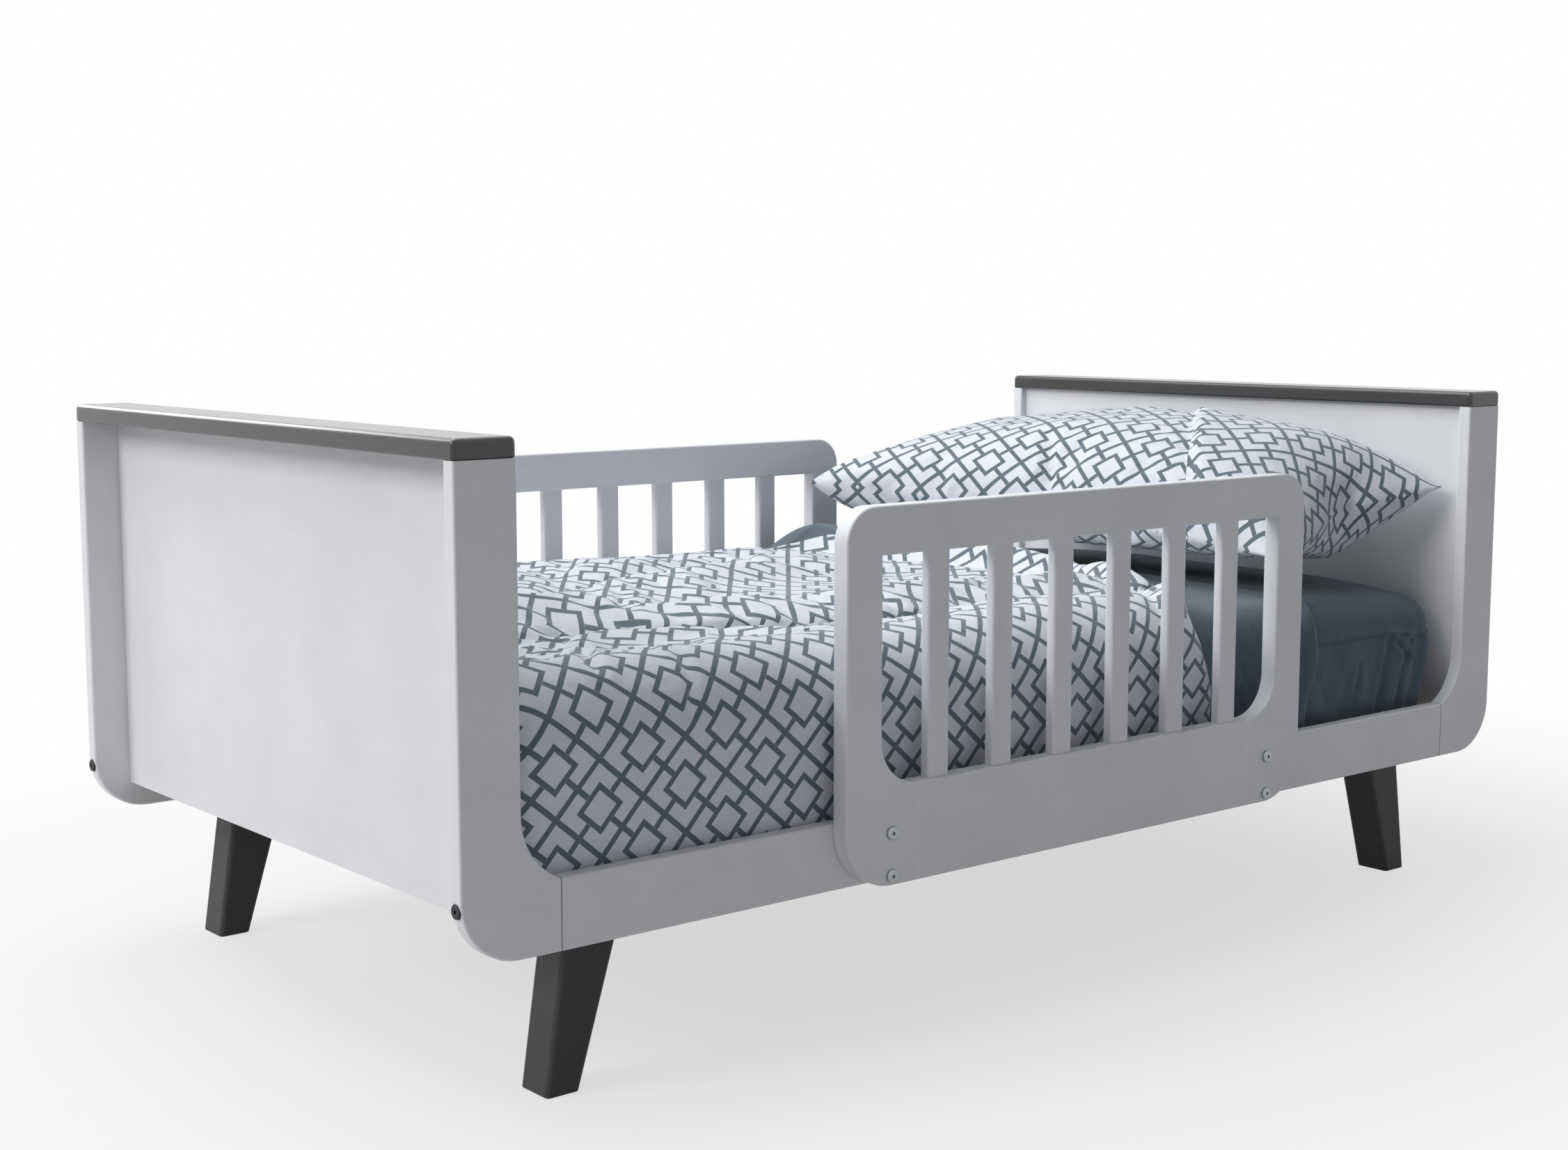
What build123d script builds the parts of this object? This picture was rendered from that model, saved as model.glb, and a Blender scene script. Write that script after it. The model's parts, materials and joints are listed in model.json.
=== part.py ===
from build123d import *
import math
import os

# A toddler bed. Each long side is a frame of two L-shaped corner posts and a rail,
# each end is a panel under a dark cap, and four splayed legs carry the frame.
# A guard rail is bolted to the outside of each long side. Slats on two cleats carry
# the mattress, with its sheets, a comforter and a pillow.
# +X runs to the head end, -Y is the front long side, and Z starts at the floor
# under the middle of the bed. All sizes are in millimetres.

# The mattress, and the room left between it and the side boards and the caps
mattress_length = 1308.0
mattress_width = 690.0
mattress_height = 159.0
mattress_crown = 5.0
mattress_corner = 45.0
mattress_rim = 34.0
crown_spread = 1.1
side_gap = 17.8
foot_gap = 25.2
head_gap = 4.8

# Sheets, and the air that is left between the layers of bedding
sheet_thickness = 1.2
sheet_turn_under = 60.0
top_sheet_thickness = 2.0
top_sheet_length = 1010.0
top_sheet_foot_inset = 62.0
layer_gap = 0.3

# Side frames
side_board = 16.0
post_width = 60.0
post_height = 418.0
post_arm = 38.0
post_outer_radius = 58.0
post_inner_radius = 62.0
rail_height = 64.0
side_edge_round = 2.5

# End panels and caps
panel_thickness = 12.0
panel_setback = 9.5
panel_lift = 28.0
panel_groove = 4.0
groove_play = 0.1
cap_thickness = 18.0
cap_groove = 5.0
cap_top_round = 5.0
cap_under_round = 2.0
cap_corner = 4.0

# Legs, measured in the side view: two slopes, in mm across per mm up
leg_height = 143.0
leg_inset = 106.0
leg_foot_width = 35.0
leg_outer_slope = 0.15
leg_inner_slope = 0.31
leg_thickness = 43.0
leg_edge_round = 5.0
leg_sole_round = 1.5
leg_top_gap = 2.0

# Cleats and deck slats
cleat_thickness = 23.0
cleat_height = 25.0
cleat_drop = 8.0
cleat_end_gap = 6.0
deck_slat_count = 10
deck_slat_width = 70.0
deck_slat_thickness = 12.0
deck_slat_play = 1.0

# Guard rails
guard_board = 20.0
guard_length = 664.0
guard_height = 358.0
guard_stile_width = 44.0
guard_top_height = 46.0
guard_sill_height = 95.0
guard_top_radius = 34.0
guard_foot_radius = 57.0
guard_window_radius = 45.0
guard_edge_round = 2.5
guard_slat_count = 6
guard_slat_width = 27.0
guard_slat_thickness = 12.0
guard_slat_round = 3.0
guard_slat_end_gap = 62.0
guard_tenon = 10.0
tenon_play = 0.15

# Guard bolts, in pairs one above the other near each end
guard_bolt_inset = 56.0
guard_bolt_low = 9.5
guard_bolt_high = 50.5
bolt_radius = 3.0
bolt_play = 0.25
thread_play = 0.05
button_radius = 6.6
button_height = 3.3
button_dome = 2.0
button_socket = 4.0
button_socket_depth = 2.0
insert_radius = 5.0
insert_length = 13.0
insert_setback = 1.0

# Long bolts along the posts' feet, with cross dowels in the rails
post_bolt_height = 50.0
post_bolt_head_radius = 6.5
post_bolt_head_height = 4.0
post_bolt_recess = 3.0
post_bolt_reach = 34.0
barrel_radius = 5.0
barrel_length = 12.0
barrel_setback = 6.0

# Wooden dowels
dowel_radius = 4.0
dowel_length = 36.0
dowel_play = 0.1
seam_dowel_height = 20.0
cap_dowel_depth = 11.0
cap_dowel_spread = 19.0
cap_dowel_offset = 18.0
guard_dowel_heights = (27.0, 72.0)

# Leg bolts and deck screws
leg_bolt_spread = 30.0
leg_bolt_height = 20.0
screw_radius = 2.0
screw_head_radius = 4.0
screw_head_height = 2.6
screw_length = 30.0

# Comforter: three lengthways bulges with two creases between them, and a rolled head edge
comforter_clearance = 1.2
comforter_foot_gap = 1.2
comforter_length = 975.0
comforter_hem_lift = 8.0
comforter_shoulder_drop = 26.0
comforter_peak_share = 0.42
comforter_front_end = 79.0
comforter_back_end = 62.0
comforter_notch = 110.0
comforter_notch_inset = 15.0
comforter_flap = 66.0
comforter_flap_inset = 56.0
comforter_corner_inset = 140.0
# Slices from the foot end to the head edge, as shares of the length
comforter_slices = (0.0, 0.30, 0.52, 0.70, 0.84, 0.90, 0.955, 1.0)
# At each slice: how far the creases lie from the outside of the bed, the height of the three bulges
# above the mattress, and that of the two creases
comforter_front_creases = (268.0, 236.0, 182.0, 160.0, 142.0, 136.0, 130.0, 126.0)
comforter_back_creases = (328.0, 318.0, 266.0, 200.0, 160.0, 148.0, 140.0, 135.0)
comforter_front_lofts = (20.0, 24.0, 25.0, 25.0, 24.0, 20.0, 30.0, 16.0)
comforter_middle_lofts = (26.0, 38.0, 40.0, 41.0, 38.0, 29.0, 51.0, 24.0)
comforter_back_lofts = (30.0, 42.0, 44.0, 44.0, 40.0, 31.0, 51.0, 24.0)
comforter_front_dips = (14.0, 13.0, 10.0, 10.0, 11.0, 12.0, 26.0, 12.0)
comforter_back_dips = (20.0, 24.0, 23.0, 24.0, 24.0, 20.0, 42.0, 18.0)

# Pillow, with its long way across the bed; its front end is narrower and lower than its back end
pillow_length = 676.0
pillow_front_shift = 7.0
pillow_front_width = 288.0
pillow_back_width = 421.0
pillow_draw = 20.0
pillow_crown = 190.0
pillow_front_seam = 47.0
pillow_back_seam = 95.0
pillow_head_seam = 118.0
pillow_edge = 3.0
pillow_head_gap = 4.2
pillow_head_slant = 14.0
pillow_end_turn = 4.0
pillow_rest_gap = 0.6
# Slices from one end to the other, how fast the top and the underside fill out there, and how much
# fuller the front end is
pillow_slices = (-1.0, -0.93, -0.72, -0.38, 0.0, 0.38, 0.72, 0.93, 1.0)
pillow_fullness = 0.6
pillow_under_fullness = 0.9
pillow_skew = 0.1

# How far a cutting block runs past the face that it cuts
overcut = 1.0

# Places that follow from the sizes above
dressed_length = mattress_length + 2 * sheet_thickness
dressed_width = mattress_width + 2 * sheet_thickness
panel_inner = post_width - panel_setback
panel_outer = panel_inner - panel_thickness
bed_length = dressed_length + foot_gap + head_gap + 2 * post_width
bed_width = dressed_width + 2 * side_gap + 2 * side_board
half_length = bed_length / 2
half_width = bed_width / 2
inside_half = half_width - side_board
frame_bottom = leg_height
post_top = frame_bottom + post_height
seam = post_width + post_arm
rail_length = bed_length - 2 * seam
slat_bottom = frame_bottom + cleat_drop + cleat_height
deck_top = slat_bottom + deck_slat_thickness
mattress_bottom = deck_top + layer_gap + sheet_thickness
mattress_top = mattress_bottom + mattress_height
mattress_middle = -half_length + post_width + foot_gap + dressed_length / 2
bolt_hole = bolt_radius + bolt_play
insert_bore = bolt_radius + thread_play
same_place = 0.01

pieces = {}


def block(x_range, y_range, z_range):
    """A plain box from its lowest and highest values along each axis."""
    size = [high - low for low, high in (x_range, y_range, z_range)]
    middle = [(high + low) / 2 for low, high in (x_range, y_range, z_range)]
    return Pos(*middle) * Box(*size)


def upright(outline, back, thickness):
    """A board cut from an outline in X and Z, whose back face is at the given Y."""
    plane = Plane((0, back, 0), x_dir=(1, 0, 0), z_dir=(0, -1, 0))
    return extrude(plane * outline, thickness)


def rod(radius, start, end):
    """A round bar between two points."""
    along = Vector(*end) - Vector(*start)
    plane = Plane(start, z_dir=along)
    return extrude(plane * Circle(radius), along.length)


def lies_at(edge, axis, place):
    """True where an edge lies in the plane across an axis at a place."""
    box = edge.bounding_box()
    low = getattr(box.min, axis)
    high = getattr(box.max, axis)
    return math.isclose(low, place, abs_tol=same_place) and math.isclose(high, place, abs_tol=same_place)


def soften(board, radius, sharp=()):
    """Round the rims of a board's two broad faces, apart from those at the sharp places."""
    faces = board.faces().sort_by(Axis.Y)
    rims = faces[0].edges() + faces[-1].edges()
    chosen = [e for e in rims if not any(lies_at(e, axis, place) for axis, place in sharp)]
    return fillet(chosen, radius)


def foot_to_head(part):
    """The same piece at the other end of the bed."""
    return mirror(part, about=Plane.YZ)


def front_to_back(part):
    """The same piece on the other side of the bed."""
    return mirror(part, about=Plane.XZ)


def both_sides(parts):
    """The given pieces and their copies on the other side."""
    return parts + [front_to_back(part) for part in parts]


def all_corners(parts):
    """The given pieces of the front foot corner and their copies at the other corners."""
    sides = both_sides(parts)
    return sides + [foot_to_head(part) for part in sides]


def group(solids):
    """Separate solids that share one node."""
    return Compound([solid for part in solids for solid in part.solids()])


# Side frames
def post_outline():
    """The L of a post, seen from the front, with its arm's inner corner as an arc."""
    x_out = -half_length
    x_seam = x_out + seam
    x_in = x_out + post_width
    arc_x = x_in + post_inner_radius
    arc_turn = math.acos((arc_x - x_seam) / post_inner_radius)
    arc_z = frame_bottom + rail_height + post_inner_radius * math.sin(arc_turn)
    low_x = x_out + post_outer_radius
    low_z = frame_bottom + post_outer_radius
    return make_face([
        Line((x_seam, frame_bottom), (low_x, frame_bottom)),
        CenterArc((low_x, low_z), post_outer_radius, 270, -90),
        Line((x_out, low_z), (x_out, post_top)),
        Line((x_out, post_top), (x_in, post_top)),
        Line((x_in, post_top), (x_in, arc_z)),
        CenterArc((arc_x, arc_z), post_inner_radius, 180, math.degrees(arc_turn)),
        Line((x_seam, frame_bottom + rail_height), (x_seam, frame_bottom)),
    ])


bolt_y = -half_width + side_board / 2
bolt_z = frame_bottom + post_bolt_height
seam_dowel_z = frame_bottom + seam_dowel_height
barrel_x = -half_length + seam + post_bolt_reach - barrel_setback


def post_bolt_cut():
    """The long bolt's hole from the post's edge into the rail, with the head's recess."""
    start = -half_length + post_bolt_recess
    shank = rod(bolt_hole, (start, bolt_y, bolt_z), (start + seam + post_bolt_reach, bolt_y, bolt_z))
    recess = rod(
        post_bolt_head_radius + bolt_play,
        (-half_length - post_bolt_head_height, bolt_y, bolt_z),
        (start, bolt_y, bolt_z),
    )
    return shank + recess


def seam_dowel(extra=0.0):
    """The dowel that keys a rail's end to a post's arm."""
    x = -half_length + seam
    reach = dowel_length / 2 + extra
    return rod(dowel_radius + extra, (x - reach, bolt_y, seam_dowel_z), (x + reach, bolt_y, seam_dowel_z))


def cap_dowels(extra=0.0):
    """The dowels that stand in a post's top and hold its cap."""
    top = post_top + cap_dowel_depth + extra
    bottom = top - dowel_length - 2 * extra
    middle = -half_length + cap_dowel_offset
    places = (middle - cap_dowel_spread / 2, middle + cap_dowel_spread / 2)
    return [rod(dowel_radius + extra, (x, bolt_y, bottom), (x, bolt_y, top)) for x in places]


def foot_front_post():
    """A corner post with its bolt hole, dowel holes and the groove for the end panel."""
    post = upright(post_outline(), -half_width + side_board, side_board)
    post = soften(post, side_edge_round, [("X", -half_length + seam), ("Z", post_top)])
    groove = block(
        (-half_length + panel_outer - groove_play, -half_length + panel_inner + groove_play),
        (-inside_half - panel_groove - groove_play, -inside_half + side_board),
        (frame_bottom + panel_lift - groove_play, post_top + cap_thickness),
    )
    post -= groove
    post -= post_bolt_cut()
    post -= seam_dowel(dowel_play)
    for dowel in cap_dowels(dowel_play):
        post -= dowel
    return post


guard_bolt_x = guard_length / 2 - guard_bolt_inset
guard_bolt_zs = (frame_bottom + guard_bolt_low, frame_bottom + guard_bolt_high)
guard_bolt_places = [(x, z) for x in (-guard_bolt_x, guard_bolt_x) for z in guard_bolt_zs]


def barrel_nut():
    """The cross dowel that a long bolt screws into."""
    inner = -inside_half
    nut = rod(barrel_radius, (barrel_x, inner - barrel_length, bolt_z), (barrel_x, inner, bolt_z))
    thread = rod(
        insert_bore,
        (barrel_x - barrel_radius, bolt_y, bolt_z),
        (barrel_x + barrel_radius, bolt_y, bolt_z),
    )
    return nut - thread


def front_rail():
    """A side rail with its bolt, dowel, barrel nut and insert holes."""
    outline = Pos(0, frame_bottom + rail_height / 2) * Rectangle(rail_length, rail_height)
    rail = upright(outline, -half_width + side_board, side_board)
    rail = soften(rail, side_edge_round, [("X", -rail_length / 2), ("X", rail_length / 2)])
    end_cuts = post_bolt_cut() + seam_dowel(dowel_play)
    inner = -inside_half
    end_cuts += rod(
        barrel_radius + dowel_play,
        (barrel_x, inner - barrel_length - dowel_play, bolt_z),
        (barrel_x, inner + barrel_length, bolt_z),
    )
    rail -= end_cuts
    rail -= foot_to_head(end_cuts)
    back = -half_width + insert_setback + insert_length
    for x, z in guard_bolt_places:
        rail -= rod(bolt_hole, (x, -half_width - guard_board, z), (x, back, z))
        rail -= rod(insert_radius, (x, back - insert_length, z), (x, back, z))
    return rail


def post_bolt():
    """A long bolt with a flat round head and a six-sided socket."""
    seat = -half_length + post_bolt_recess
    face = seat - post_bolt_head_height
    head = rod(post_bolt_head_radius, (seat, bolt_y, bolt_z), (face, bolt_y, bolt_z))
    head = fillet(head.faces().sort_by(Axis.X)[0].edges(), button_dome / 2)
    socket = Plane((face, bolt_y, bolt_z), z_dir=(1, 0, 0)) * RegularPolygon(button_socket / 2, 6)
    head -= extrude(socket, button_socket_depth)
    tip = barrel_x + barrel_radius
    return head + rod(bolt_radius, (seat, bolt_y, bolt_z), (tip, bolt_y, bolt_z))


post = foot_front_post()
pieces["post_foot_front"] = post
pieces["post_foot_back"] = front_to_back(post)
pieces["post_head_front"] = foot_to_head(post)
pieces["post_head_back"] = foot_to_head(front_to_back(post))

rail = front_rail()
pieces["side_rail_front"] = rail
pieces["side_rail_back"] = front_to_back(rail)

pieces["post_bolts"] = group(all_corners([post_bolt()]))
pieces["post_barrel_nuts"] = group(all_corners([barrel_nut()]))
pieces["frame_dowels"] = group(all_corners([seam_dowel()] + cap_dowels()))


# End panels and caps
def foot_panel():
    """The footboard panel, whose rim sits in the posts' and the cap's grooves."""
    reach = inside_half + panel_groove
    return block(
        (-half_length + panel_outer, -half_length + panel_inner),
        (-reach, reach),
        (frame_bottom + panel_lift, post_top + cap_groove - groove_play),
    )


def foot_cap():
    """The dark board over the posts and the panel, rounded along its edges."""
    cap = block(
        (-half_length, -half_length + post_width),
        (-half_width, half_width),
        (post_top, post_top + cap_thickness),
    )
    cap = fillet(cap.edges().filter_by(Axis.Z), cap_corner)
    cap = fillet(cap.faces().sort_by(Axis.Z)[-1].edges(), cap_top_round)
    cap = fillet(cap.faces().sort_by(Axis.Z)[0].edges(), cap_under_round)
    reach = inside_half + panel_groove
    cap -= block(
        (-half_length + panel_outer - groove_play, -half_length + panel_inner + groove_play),
        (-reach - groove_play, reach + groove_play),
        (post_top - cap_thickness, post_top + cap_groove),
    )
    for dowel in both_sides(cap_dowels(dowel_play)):
        cap -= dowel
    return cap


panel = foot_panel()
pieces["footboard_panel"] = panel
pieces["headboard_panel"] = foot_to_head(panel)
cap = foot_cap()
pieces["footboard_cap"] = cap
pieces["headboard_cap"] = foot_to_head(cap)

# Cleats, legs and deck
cleat_front = -inside_half
cleat_back = cleat_front + cleat_thickness
cleat_half = rail_length / 2 - cleat_end_gap
leg_top = slat_bottom - leg_top_gap
leg_bolt_z = frame_bottom + leg_bolt_height
leg_bolt_x = -half_length + leg_inset + leg_foot_width / 2
leg_bolt_x += leg_bolt_z * (leg_outer_slope + leg_inner_slope) / 2
leg_bolt_xs = (leg_bolt_x - leg_bolt_spread / 2, leg_bolt_x + leg_bolt_spread / 2)


def leg_insert(x, radius):
    """A threaded insert in a cleat, open towards the leg."""
    return rod(radius, (x, cleat_back - insert_length, leg_bolt_z), (x, cleat_back, leg_bolt_z))


def front_cleat():
    """The strip inside a side rail that the slats lie on and the legs are bolted to."""
    cleat = block(
        (-cleat_half, cleat_half),
        (cleat_front, cleat_back),
        (frame_bottom + cleat_drop, slat_bottom),
    )
    for x in leg_bolt_xs:
        seat = leg_insert(x, insert_radius)
        cleat -= seat
        cleat -= foot_to_head(seat)
    for x in deck_slat_places:
        cleat -= screw_shank(x)
    return cleat


def foot_front_leg():
    """A tapered leg that leans out towards the end of the bed."""
    x_out = -half_length + leg_inset
    x_in = x_out + leg_foot_width
    outline = make_face(Polyline([
        (x_out, 0),
        (x_in, 0),
        (x_in + leg_inner_slope * leg_top, leg_top),
        (x_out + leg_outer_slope * leg_top, leg_top),
    ], close=True))
    leg = upright(outline, cleat_back + leg_thickness, leg_thickness)
    long_edges = [e for e in leg.edges() if abs(e.bounding_box().size.Z) > leg_top / 2]
    leg = fillet(long_edges, leg_edge_round)
    leg = fillet(leg.faces().sort_by(Axis.Z)[0].edges(), leg_sole_round)
    for x in leg_bolt_xs:
        leg -= rod(bolt_hole, (x, cleat_back, leg_bolt_z), (x, cleat_back + leg_thickness, leg_bolt_z))
    return leg


def button_bolt(seat, towards, length):
    """A domed bolt with a six-sided socket, whose head sits at a point and faces along Y."""
    x, y, z = seat
    face = y + towards * button_height
    head = rod(button_radius, (x, y, z), (x, face, z))
    rim = head.faces().sort_by(Axis.Y)[0 if towards < 0 else -1].edges()
    head = fillet(rim, button_dome)
    socket = Plane((x, face, z), z_dir=(0, -towards, 0)) * RegularPolygon(button_socket / 2, 6)
    head -= extrude(socket, button_socket_depth)
    return head + rod(bolt_radius, (x, y, z), (x, y - towards * length, z))


deck_span = 2 * cleat_half - deck_slat_width
deck_pitch = deck_span / (deck_slat_count - 1)
deck_slat_places = [-deck_span / 2 + i * deck_pitch for i in range(deck_slat_count)]
screw_y = (cleat_front + cleat_back) / 2


def screw_shank(x):
    """The plain part of a deck screw, from the slat's face down into the cleat."""
    return rod(screw_radius, (x, screw_y, deck_top - screw_length), (x, screw_y, deck_top))


def screw_head(x):
    """A deck screw's countersunk head."""
    plane = Plane((x, screw_y, deck_top - screw_head_height))
    low = plane * Circle(screw_radius)
    high = plane.offset(screw_head_height) * Circle(screw_head_radius)
    return loft([low, high], ruled=True)


def deck_slat(x):
    """A slat across the bed with a countersunk hole over each cleat."""
    reach = inside_half - deck_slat_play
    slat = block(
        (x - deck_slat_width / 2, x + deck_slat_width / 2),
        (-reach, reach),
        (slat_bottom, deck_top),
    )
    hole = screw_shank(x) + screw_head(x)
    return slat - hole - front_to_back(hole)


cleat = front_cleat()
pieces["slat_cleat_front"] = cleat
pieces["slat_cleat_back"] = front_to_back(cleat)
leg = foot_front_leg()
pieces["leg_foot_front"] = leg
pieces["leg_foot_back"] = front_to_back(leg)
pieces["leg_head_front"] = foot_to_head(leg)
pieces["leg_head_back"] = foot_to_head(front_to_back(leg))
leg_face = cleat_back + leg_thickness
leg_bolt_length = leg_thickness + insert_length
pieces["leg_bolts"] = group(all_corners(
    [button_bolt((x, leg_face, leg_bolt_z), 1, leg_bolt_length) for x in leg_bolt_xs]
))
pieces["leg_insert_nuts"] = group(all_corners(
    [leg_insert(x, insert_radius) - leg_insert(x, insert_bore) for x in leg_bolt_xs]
))
for number, x in enumerate(deck_slat_places, start=1):
    pieces[f"deck_slat_{number:02d}"] = deck_slat(x)
pieces["slat_screws"] = group(both_sides([screw_shank(x) + screw_head(x) for x in deck_slat_places]))

# Guard rails
guard_back = -half_width
guard_front = guard_back - guard_board
guard_middle_y = (guard_back + guard_front) / 2
guard_half = guard_length / 2
window_half = guard_half - guard_stile_width
window_bottom = frame_bottom + guard_sill_height
guard_top = frame_bottom + guard_height
window_top = guard_top - guard_top_height
foot_seam = window_half - guard_window_radius
slat_run = 2 * window_half - 2 * guard_slat_end_gap - guard_slat_width
guard_slat_places = [
    -slat_run / 2 + i * slat_run / (guard_slat_count - 1) for i in range(guard_slat_count)
]


def guard_frame():
    """The whole guard frame in one piece, rounded, before it is cut at its seams."""
    outer = Pos(0, frame_bottom + guard_height / 2) * Rectangle(guard_length, guard_height)
    outer = fillet(outer.vertices().group_by(Axis.Y)[-1], guard_top_radius)
    outer = fillet(outer.vertices().group_by(Axis.Y)[0], guard_foot_radius)
    window = Pos(0, (window_bottom + window_top) / 2) * Rectangle(2 * window_half, window_top - window_bottom)
    window = fillet(window.vertices().group_by(Axis.Y)[0], guard_window_radius)
    return soften(upright(outer - window, guard_back, guard_board), guard_edge_round)


def guard_slat(x, extra=0.0):
    """An upright slat with rounded edges, whose ends stand in the two rails."""
    outline = RectangleRounded(
        guard_slat_width + 2 * extra, guard_slat_thickness + 2 * extra, guard_slat_round + extra
    )
    bottom = window_bottom - guard_tenon - extra
    top = window_top + guard_tenon + extra
    return extrude(Pos(x, guard_middle_y, bottom) * outline, top - bottom)


def guard_dowels(extra=0.0):
    """The dowels that key the foot stile to the two rails."""
    places = [(-window_half, guard_top - guard_top_height / 2)]
    places += [(-foot_seam, frame_bottom + height) for height in guard_dowel_heights]
    reach = dowel_length / 2 + extra
    return [
        rod(dowel_radius + extra, (x - reach, guard_middle_y, z), (x + reach, guard_middle_y, z))
        for x, z in places
    ]


def front_guard():
    """The guard's two stiles, two rails and slats, by name."""
    frame = guard_frame()
    for dowel in guard_dowels(dowel_play):
        frame = frame - dowel - foot_to_head(dowel)
    for x, z in guard_bolt_places:
        frame -= rod(bolt_hole, (x, guard_front, z), (x, guard_back, z))
    depth = (guard_front - overcut, guard_back + overcut)
    middle = (window_bottom + window_top) / 2
    top_cut = block((-window_half, window_half), depth, (middle, guard_top + overcut))
    low_cut = block((-foot_seam, foot_seam), depth, (frame_bottom - overcut, middle))
    top_rail = frame & top_cut
    bottom_rail = frame & low_cut
    for x in guard_slat_places:
        mortise = guard_slat(x, tenon_play)
        top_rail -= mortise
        bottom_rail -= mortise
    stiles = (frame - top_cut - low_cut).solids().sort_by(Axis.X)
    parts = {
        "stile_foot": Part([stiles[0]]),
        "stile_head": Part([stiles[-1]]),
        "top_rail": top_rail,
        "bottom_rail": bottom_rail,
    }
    for number, x in enumerate(guard_slat_places, start=1):
        parts[f"slat_{number}"] = guard_slat(x)
    return parts


for name, part in front_guard().items():
    pieces[f"guard_front_{name}"] = part
    pieces[f"guard_back_{name}"] = front_to_back(part)

guard_dowel_set = guard_dowels()
guard_dowel_set = guard_dowel_set + [foot_to_head(dowel) for dowel in guard_dowel_set]
pieces["guard_dowels"] = group(both_sides(guard_dowel_set))

guard_bolt_length = guard_board + insert_setback + insert_length
pieces["guard_bolts"] = group(both_sides(
    [button_bolt((x, guard_front, z), -1, guard_bolt_length) for x, z in guard_bolt_places]
))


def guard_insert(x, z):
    """A threaded insert in a side rail."""
    start = -half_width + insert_setback
    tube = rod(insert_radius, (x, start, z), (x, start + insert_length, z))
    return tube - rod(insert_bore, (x, start, z), (x, start + insert_length, z))


pieces["guard_insert_nuts"] = group(both_sides([guard_insert(x, z) for x, z in guard_bolt_places]))


# Mattress and sheets
def crown_profile(grow, spread=1.0):
    """The mattress seen from its end, grown all round, or with its crown run out past its sides."""
    half = spread * (mattress_width / 2 + grow)
    low = mattress_bottom - grow
    top = mattress_top + grow
    side = top - mattress_crown * spread ** 2
    return make_face([
        Line((-half, low), (half, low)),
        Line((half, low), (half, side)),
        ThreePointArc((half, side), (0, top), (-half, side)),
        Line((-half, side), (-half, low)),
    ])


def along_bed(face, x_low, x_high):
    """A face seen from the bed's end, run along the bed between two places."""
    return extrude(Plane((x_low, 0, 0), x_dir=(0, 1, 0), z_dir=(1, 0, 0)) * face, x_high - x_low)


def pad_bar(grow, x_low, x_high):
    """The mattress profile with rounded shoulders, run along the bed between two places."""
    face = crown_profile(grow)
    middle = (mattress_bottom + mattress_top) / 2
    shoulders = [v for v in face.vertices() if v.Y > middle]
    return along_bed(fillet(shoulders, mattress_rim + grow), x_low, x_high)


def pad(grow):
    """The whole mattress, grown all round: its plan raised to the crown, with the top rim rounded."""
    low = mattress_bottom - grow
    length = mattress_length + 2 * grow
    plan = RectangleRounded(length, mattress_width + 2 * grow, mattress_corner + grow)
    solid = extrude(Pos(mattress_middle, 0, low) * plan, mattress_height + 2 * grow + overcut)
    reach = length / 2 + overcut
    solid &= along_bed(crown_profile(grow, crown_spread), mattress_middle - reach, mattress_middle + reach)
    rim = [e for e in solid.edges() if e.bounding_box().min.Z > low + mattress_height / 2]
    return fillet(rim, mattress_rim + grow)


def fitted_sheet(core):
    """A thin cover over the mattress that turns under its bottom edges."""
    cover = pad(sheet_thickness) - core
    opening_x = mattress_length / 2 - sheet_turn_under
    opening_y = mattress_width / 2 - sheet_turn_under
    return cover - block(
        (mattress_middle - opening_x, mattress_middle + opening_x),
        (-opening_y, opening_y),
        (deck_top, mattress_bottom),
    )


top_sheet_grow = sheet_thickness + layer_gap
comforter_grow = top_sheet_grow + top_sheet_thickness + layer_gap
hem = deck_top + comforter_hem_lift


def top_sheet():
    """The flat sheet under the comforter, hanging down both sides of the mattress."""
    start = mattress_middle - dressed_length / 2 + top_sheet_foot_inset
    end = start + top_sheet_length
    sheet = pad_bar(top_sheet_grow + top_sheet_thickness, start, end)
    sheet -= pad_bar(top_sheet_grow, start - overcut, end + overcut)
    return sheet - block((start - overcut, end + overcut), (-half_width, half_width), (0, hem))


# Pillow
pillow_base = mattress_top + comforter_grow + pillow_rest_gap
pillow_head_x = half_length - post_width - pillow_head_gap


def pillow_section(place):
    """A slice of the pillow along the bed; place runs from -1 to 1 across the bed."""
    share = (place + 1) / 2
    draw = pillow_draw * (1 - place ** 2)
    width = pillow_front_width + (pillow_back_width - pillow_front_width) * share - 2 * draw
    half = width / 2
    middle_x = pillow_head_x - pillow_head_slant * share - draw - half
    foot_seam_z = pillow_base + pillow_front_seam + (pillow_back_seam - pillow_front_seam) * share
    head_seam_z = pillow_base + pillow_head_seam
    middle = (foot_seam_z + head_seam_z) / 2
    full = 1 - place ** 2
    rise = full ** pillow_fullness * (pillow_base + pillow_crown - middle) * (1 - pillow_skew * place)
    sag = full ** pillow_under_fullness * (middle - pillow_base)
    outline = make_face([
        ThreePointArc((-half, foot_seam_z), (0, middle + max(rise, pillow_edge / 2)), (half, head_seam_z)),
        ThreePointArc((half, head_seam_z), (0, middle - max(sag, pillow_edge / 2)), (-half, foot_seam_z)),
    ])
    turn = pillow_end_turn * (share - 1)
    across = Vector(0, 1, 0).rotate(Axis.Z, turn)
    along = Vector(1, 0, 0).rotate(Axis.Z, turn)
    origin = (middle_x, place * pillow_length / 2 - pillow_front_shift, 0)
    return Plane(origin, x_dir=along, z_dir=across * -1) * outline


def pillow():
    """A plump pillow with thin corners that stand out and sides that draw in."""
    return loft([pillow_section(place) for place in pillow_slices])


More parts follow.
